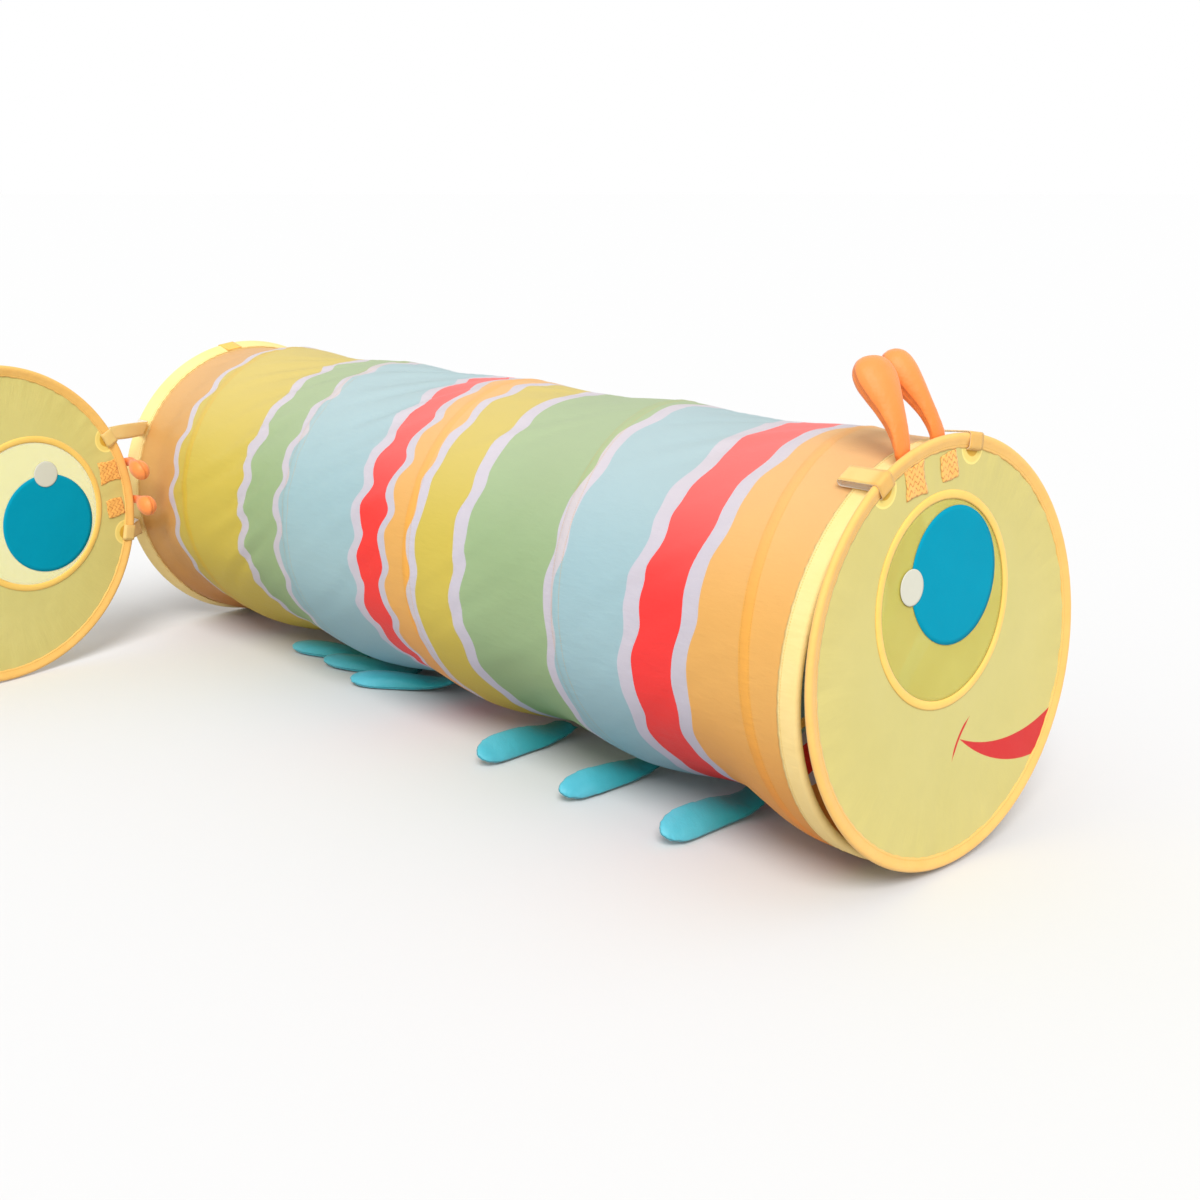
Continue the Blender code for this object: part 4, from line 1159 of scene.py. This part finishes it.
def strap_finish():
    """Yellow nylon band with two edge seams, and painted shade past the tunnel's end.

    It is white on the side that the UV map's V marks.
    """
    finish = Finish("strap_cloth", Roughness=0.6, Sheen_Weight=0.2, Specular_IOR_Level=0.3)
    place = finish.place()
    x, y, z = finish.split(place)
    across, back, _ = finish.split(finish.place("UV"))
    dye = finish.noise(place, 30.0, 4.0)
    front = finish.mix(dye, srgb(246, 208, 116), srgb(250, 220, 142))
    lining = finish.mix(dye, srgb(248, 242, 234), srgb(252, 248, 243))
    # Painted shade: past the end of the tunnel, over the flap's rim and on its face, the yellow
    # turns a deeper orange.
    painted_shade_past_end = finish.rising(abs(x) - HALF_LENGTH, 3 * MM, 15 * MM)
    front = finish.mix(painted_shade_past_end * 0.75, front, srgb(240, 180, 80))
    cloth = finish.mix(back > 0.5, front, lining)
    seam = finish.falling(abs(abs(across) - 0.84), 0.02, 0.06)
    finish.paint(finish.mix(seam * 0.45, cloth, srgb(228, 180, 84)))
    threads = finish.weave(x + z, y - z, 0.9 * MM)
    puckers = finish.noise(place, 80.0, 3.0)
    finish.bump(puckers * (1.2 * MM) + threads * (0.04 * MM) - seam * (0.3 * MM), 0.7)
    finish.let_light_through(0.35, srgb(252, 240, 214))
    return finish.material


STRAP_CLOTH = strap_finish()


def strap_mesh(route, width, backed_side=1):
    """A flat band along a route of places and of directions across it.

    Its UV map holds the share across, and marks its white back.
    """
    stations, directions = route[:, :3], unit(route[:, 3:])
    lift = unit(np.cross(unit(np.gradient(stations, axis=0)), directions))
    shares = np.linspace(-1, 1, STRAP_COLUMNS)
    middle = stations[:, None] + directions[:, None] * (shares[None, :, None] * width / 2)
    half = lift[:, None] * STRAP_THICKNESS / 2
    points = np.concatenate((middle + half, (middle - half)[:, ::-1]), axis=1)
    across = np.concatenate((shares, shares[::-1]))
    back = np.repeat((1.0, 0.0)[::backed_side], len(shares))
    uv = np.broadcast_to(np.stack((across, back), axis=-1), points.shape[:2] + (2,))
    mesh = grid_mesh(points, uv=uv)
    close_up(mesh, points.shape[1])
    return mesh


def rounded_route(corners, radius, per_corner=6):
    """Cut each corner of a route by a short curve: a blend of the two sides that meet there."""
    corners = [np.array(corner, float) for corner in corners]
    route = [corners[0]]
    for before, corner, after in zip(corners, corners[1:], corners[2:]):
        cut = min(radius, np.linalg.norm(corner[:3] - before[:3]) / 2.2)
        cut = min(cut, np.linalg.norm(after[:3] - corner[:3]) / 2.2)
        start = corner + (before - corner) * cut / np.linalg.norm(before[:3] - corner[:3])
        end = corner + (after - corner) * cut / np.linalg.norm(after[:3] - corner[:3])
        for t in np.linspace(0, 1, per_corner):
            route.append((1 - t) ** 2 * start + 2 * t * (1 - t) * corner + t * t * end)
    route.append(corners[-1])
    return np.array(route)


def even_steps(route, count):
    """The same route at even distances along it."""
    steps = np.linalg.norm(np.diff(route[:, :3], axis=0), axis=1)
    travelled = np.concatenate(([0], np.cumsum(steps)))
    at = np.linspace(0, travelled[-1], count)
    return np.stack([np.interp(at, travelled, column) for column in route.T], axis=-1)


for end_name, facing in (("front", 1), ("rear", -1)):
    placed = FLAPS[end_name]
    for side_name, sign in (("left", -1), ("right", 1)):
        angle = sign * STRAP_ANGLE
        ring_angle = FLAP_CLOCKS[end_name] - facing * angle
        on_ring = (0, -math.cos(ring_angle), -math.sin(ring_angle))
        in_flap = Vector((0, -math.cos(angle), math.sin(angle))) * facing
        on_face = placed.to_3x3() @ in_flap
        over_hem = [(HALF_LENGTH - 0.3 * MM, 0), (HINGE_X, 0)]
        if end_name == "front":
            over_hem[1:] = [(STRAP_FOLD_X, 0), (STRAP_FOLD_X, STRAP_LOOPS[side_name])]
        corners = [
            (*around(facing * x, ring_angle, RING_RADIUS + STRAP_LIFT + lift), *on_ring)
            for x, lift in over_hem
        ]
        for out, reach in STRAP_ON_FLAP:
            place = placed @ Vector((out, reach * math.sin(angle), reach * math.cos(angle)))
            corners.append((*place, *on_face))
        route = even_steps(rounded_route(corners, CORNER_RADIUS), STRAP_STEPS)
        mesh = strap_mesh(route, STRAP_WIDTH, facing)
        part, node = f"strap_{side_name}", f"flap_strap_{side_name}"
        flap_piece(end_name, part, mesh, STRAP_CLOTH, "yellow_cloth", node)

# The tab on the rear hem. A short piece of orange tape is folded over the hem near its top,
# from the hem's sewn edge round the hoop to a little way inside.
TAB_ANGLE = math.radians(8)
TAB_WIDTH = 28 * MM
TAB_LIFT = 0.9 * MM
TAB_TUCK = 11 * MM
TAB_STEPS = 24

tab_end = -HALF_LENGTH - HEM_REACH - TAB_LIFT
tab_across = (0, -math.cos(TAB_ANGLE), -math.sin(TAB_ANGLE))
tab_corners = [
    (*around(x, TAB_ANGLE, RING_RADIUS + lift), *tab_across)
    for x, lift in (
        (HEM_WIDTHS["rear"] - HALF_LENGTH, TAB_LIFT - REAR_FLARE),
        (tab_end, TAB_LIFT),
        (tab_end, -TAB_TUCK),
    )
]
tab_route = even_steps(rounded_route(tab_corners, CORNER_RADIUS), TAB_STEPS)
tab_mesh = strap_mesh(tab_route, TAB_WIDTH)
orange_tape = tape_finish("orange_tape", srgb(242, 172, 66), srgb(250, 192, 92))
add_piece("hem_tab", tab_mesh, orange_tape, "rear_end", "orange_cloth", "rear_hem_tab")

# The legs. Twelve flat stuffed paddles of blue-green nylon, of nearly even width and round at the
# foot, are sewn under the belly. They lie out on the floor with their flat side turned up towards
# the front, and a cloth simulation fills them out like the feelers.
LEG_ROOT_Y = 42 * MM
LEG_LENGTH = 180 * MM
LEG_HALF_WIDTH = 24 * MM
LEG_HALF_THICKNESS = 8 * MM
LEG_ROLL = math.radians(46)
LEG_CLEARANCE = 1 * MM
LEG_GAP = 2 * MM
LEG_BEND = 2.5 * MM
LEG_HELD = 0.12
LEAST_HEIGHT = 0.4 * MM
# Root to tip: shares of the length, half width, half thickness and roll.
LEG_PROFILE = (
    (0.00, 0.96, 0.60, 0.00),
    (0.14, 0.96, 0.70, 0.20),
    (0.28, 0.96, 0.80, 0.50),
    (0.42, 0.96, 0.88, 0.80),
    (0.56, 0.97, 0.96, 0.95),
    (0.69, 0.99, 1.00, 1.00),
    (0.80, 0.95, 1.00, 1.00),
    (0.88, 0.82, 0.90, 1.00),
    (0.94, 0.62, 0.74, 1.00),
    (0.98, 0.38, 0.46, 1.00),
    (1.00, 0.10, 0.12, 1.00),
)
# Place of the first pair, spacing, and each pair's lean in degrees and share of the width.
LEG_GROUPS = (
    ("front", 534 * MM, 184 * MM, (1, -1, -6), (1.0, 0.86, 0.96)),
    ("rear", -90 * MM, 100 * MM, (56, 64, 66), (0.85, 0.8, 0.85)),
)
LEG_TEAL = stuffed_finish(
    "leg_nylon", srgb(60, 168, 186), srgb(98, 188, 206), srgb(24, 126, 140), srgb(30, 156, 160)
)


def belly_height(x, y):
    """Height of the skin's underside over a place on the floor."""
    angle = math.pi - math.asin(abs(y) / (RING_RADIUS - BELLY_LIFT))
    return AXIS_HEIGHT + float(skin_radius(np.array(x), np.array(angle))) * math.cos(angle)


def leg_limb(root_x, side, lean, fullness, number):
    """A leg: its root hangs just under the belly, and the rest rolls over down to the floor.

    A rolled oval's lowest point lies the root of (width sine)² + (depth cosine)² under its
    centre. The foot keeps the greatest such height, so that its round end stays level.
    """
    run = smooth_route(LEG_PROFILE, LIMB_ROWS)
    direction = np.array((-math.sin(lean), side * math.cos(lean)))
    flat = np.array((root_x, side * LEG_ROOT_Y)) + run[:, :1] * LEG_LENGTH * direction
    bend = LEG_BEND * np.sin(run[:, 0] * 5 + number * 1.7 + side) * run[:, 0]
    flat += bend[:, None] * np.array((direction[1], -direction[0]))
    widths = run[:, 1] * LEG_HALF_WIDTH * fullness
    depths = run[:, 2] * LEG_HALF_THICKNESS
    roll = LEG_ROLL * math.cos(lean) * run[:, 3]
    heights = np.maximum.accumulate(np.hypot(widths * np.sin(roll), depths * np.cos(roll)))
    heights += LEG_CLEARANCE
    root_lift = belly_height(root_x, LEG_ROOT_Y) - depths[0] - LEG_GAP - heights[0]
    heights += root_lift * (1 - run[:, 0]) ** 5
    level = np.cos(roll)[:, None] * np.array((direction[1], -direction[0], 0))
    across = level + np.sin(-side * roll)[:, None] * np.array((0, 0, 1))
    return Limb(np.column_stack((flat, heights)), widths, depths, across)


def keep_off_floor(mesh):
    """Flatten whatever a filled leg has pushed through the floor."""
    for corner in mesh.vertices:
        corner.co.z = max(corner.co.z, LEAST_HEIGHT)


leg_pieces = []
for group, first_x, spacing, leans, widths in LEG_GROUPS:
    for number, (lean, fullness) in enumerate(zip(leans, widths), start=1):
        root_x = first_x - (number - 1) * spacing
        for side_name, side in (("left", -1), ("right", 1)):
            limb = leg_limb(root_x, side, math.radians(lean), fullness, number)
            name, node = f"{group}_paddle_{number}_{side_name}", f"{group}_leg_{number}_{side_name}"
            paddle = add_piece(name, limb.mesh(), LEG_TEAL, "front_end", "teal_cloth", node)
            fill_out(paddle, limb, LEG_HELD)
            keep_off_floor(paddle.data)
            leg_pieces.append(paddle)

front_edge = HALF_LENGTH - HEM_WIDTHS["front"]
anchor = (front_edge, 0, AXIS_HEIGHT)
for piece in [skin, wire, casing] + leg_pieces:
    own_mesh(piece)

# The studio. A white floor under a pale sky, a broad soft light from high behind the camera,
# and the camera where the photograph was taken from.
CAMERA_PLACE = (1.711, -1.421, 0.7695)
CAMERA_AZIMUTH = math.radians(46.94)
CAMERA_ELEVATION = math.radians(15.35)
CAMERA_LENS = 45.66
CAMERA_SENSOR = 36
FLOOR_HALF = 200.0
FLOOR_HEIGHT = -0.5 * MM
FLOOR_GREY_LIT = (0.58, 0.58, 0.58)
FLOOR_GREY_SEEN = (0.685, 0.685, 0.685)
SKY_LIGHT = 0.85
SUN_LIGHT = 2.7
SUN_SPREAD = math.radians(28)
SUN_DIRECTION = (-0.52, 0.50, -0.70)

floor_finish = Finish("studio_floor", Roughness=0.9, Specular_IOR_Level=0.0)
shown = floor_finish.node("ShaderNodeLightPath").outputs["Is Camera Ray"]
floor_finish.paint(floor_finish.mix(shown, FLOOR_GREY_LIT, FLOOR_GREY_SEEN))
floor_corners = np.array(((-1, -1), (1, -1), (-1, 1), (1, 1))) * FLOOR_HALF
floor_points = np.column_stack((floor_corners, np.full(4, FLOOR_HEIGHT))).reshape(2, 2, 3)
floor_mesh = grid_mesh(floor_points, wrap_columns=False)
floor_mesh.materials.append(floor_finish.material)
add_object("floor", floor_mesh)

world = bpy.data.worlds.new("studio")
bpy.context.scene.world = world
world.use_nodes = True
sky = world.node_tree
background = sky.nodes["Background"]
background.inputs["Color"].default_value = (1, 1, 1, 1)
rays = sky.nodes.new("ShaderNodeLightPath")
seen = sky.nodes.new("ShaderNodeMath")
seen.operation = "MAXIMUM"
strength = sky.nodes.new("ShaderNodeMapRange")
strength.inputs["To Min"].default_value = SKY_LIGHT
strength.inputs["To Max"].default_value = 1.0
sky.links.new(rays.outputs["Is Camera Ray"], seen.inputs[0])
sky.links.new(rays.outputs["Is Glossy Ray"], seen.inputs[1])
sky.links.new(seen.outputs[0], strength.inputs["Value"])
sky.links.new(strength.outputs[0], background.inputs["Strength"])

sun = bpy.data.lights.new("sun", "SUN")
sun.energy = SUN_LIGHT
sun.angle = SUN_SPREAD
sun_holder = add_object("sun", sun)
sun_holder.rotation_euler = Vector(SUN_DIRECTION).to_track_quat("-Z", "Y").to_euler()

camera_data = bpy.data.cameras.new("camera")
camera_data.lens = CAMERA_LENS
camera_data.sensor_width = CAMERA_SENSOR
camera_data.clip_end = 100
camera = add_object("camera", camera_data)
camera.location = CAMERA_PLACE
camera.rotation_euler = (math.pi / 2 - CAMERA_ELEVATION, 0, CAMERA_AZIMUTH)
bpy.context.scene.camera = camera
bpy.context.scene.view_settings.view_transform = "Standard"
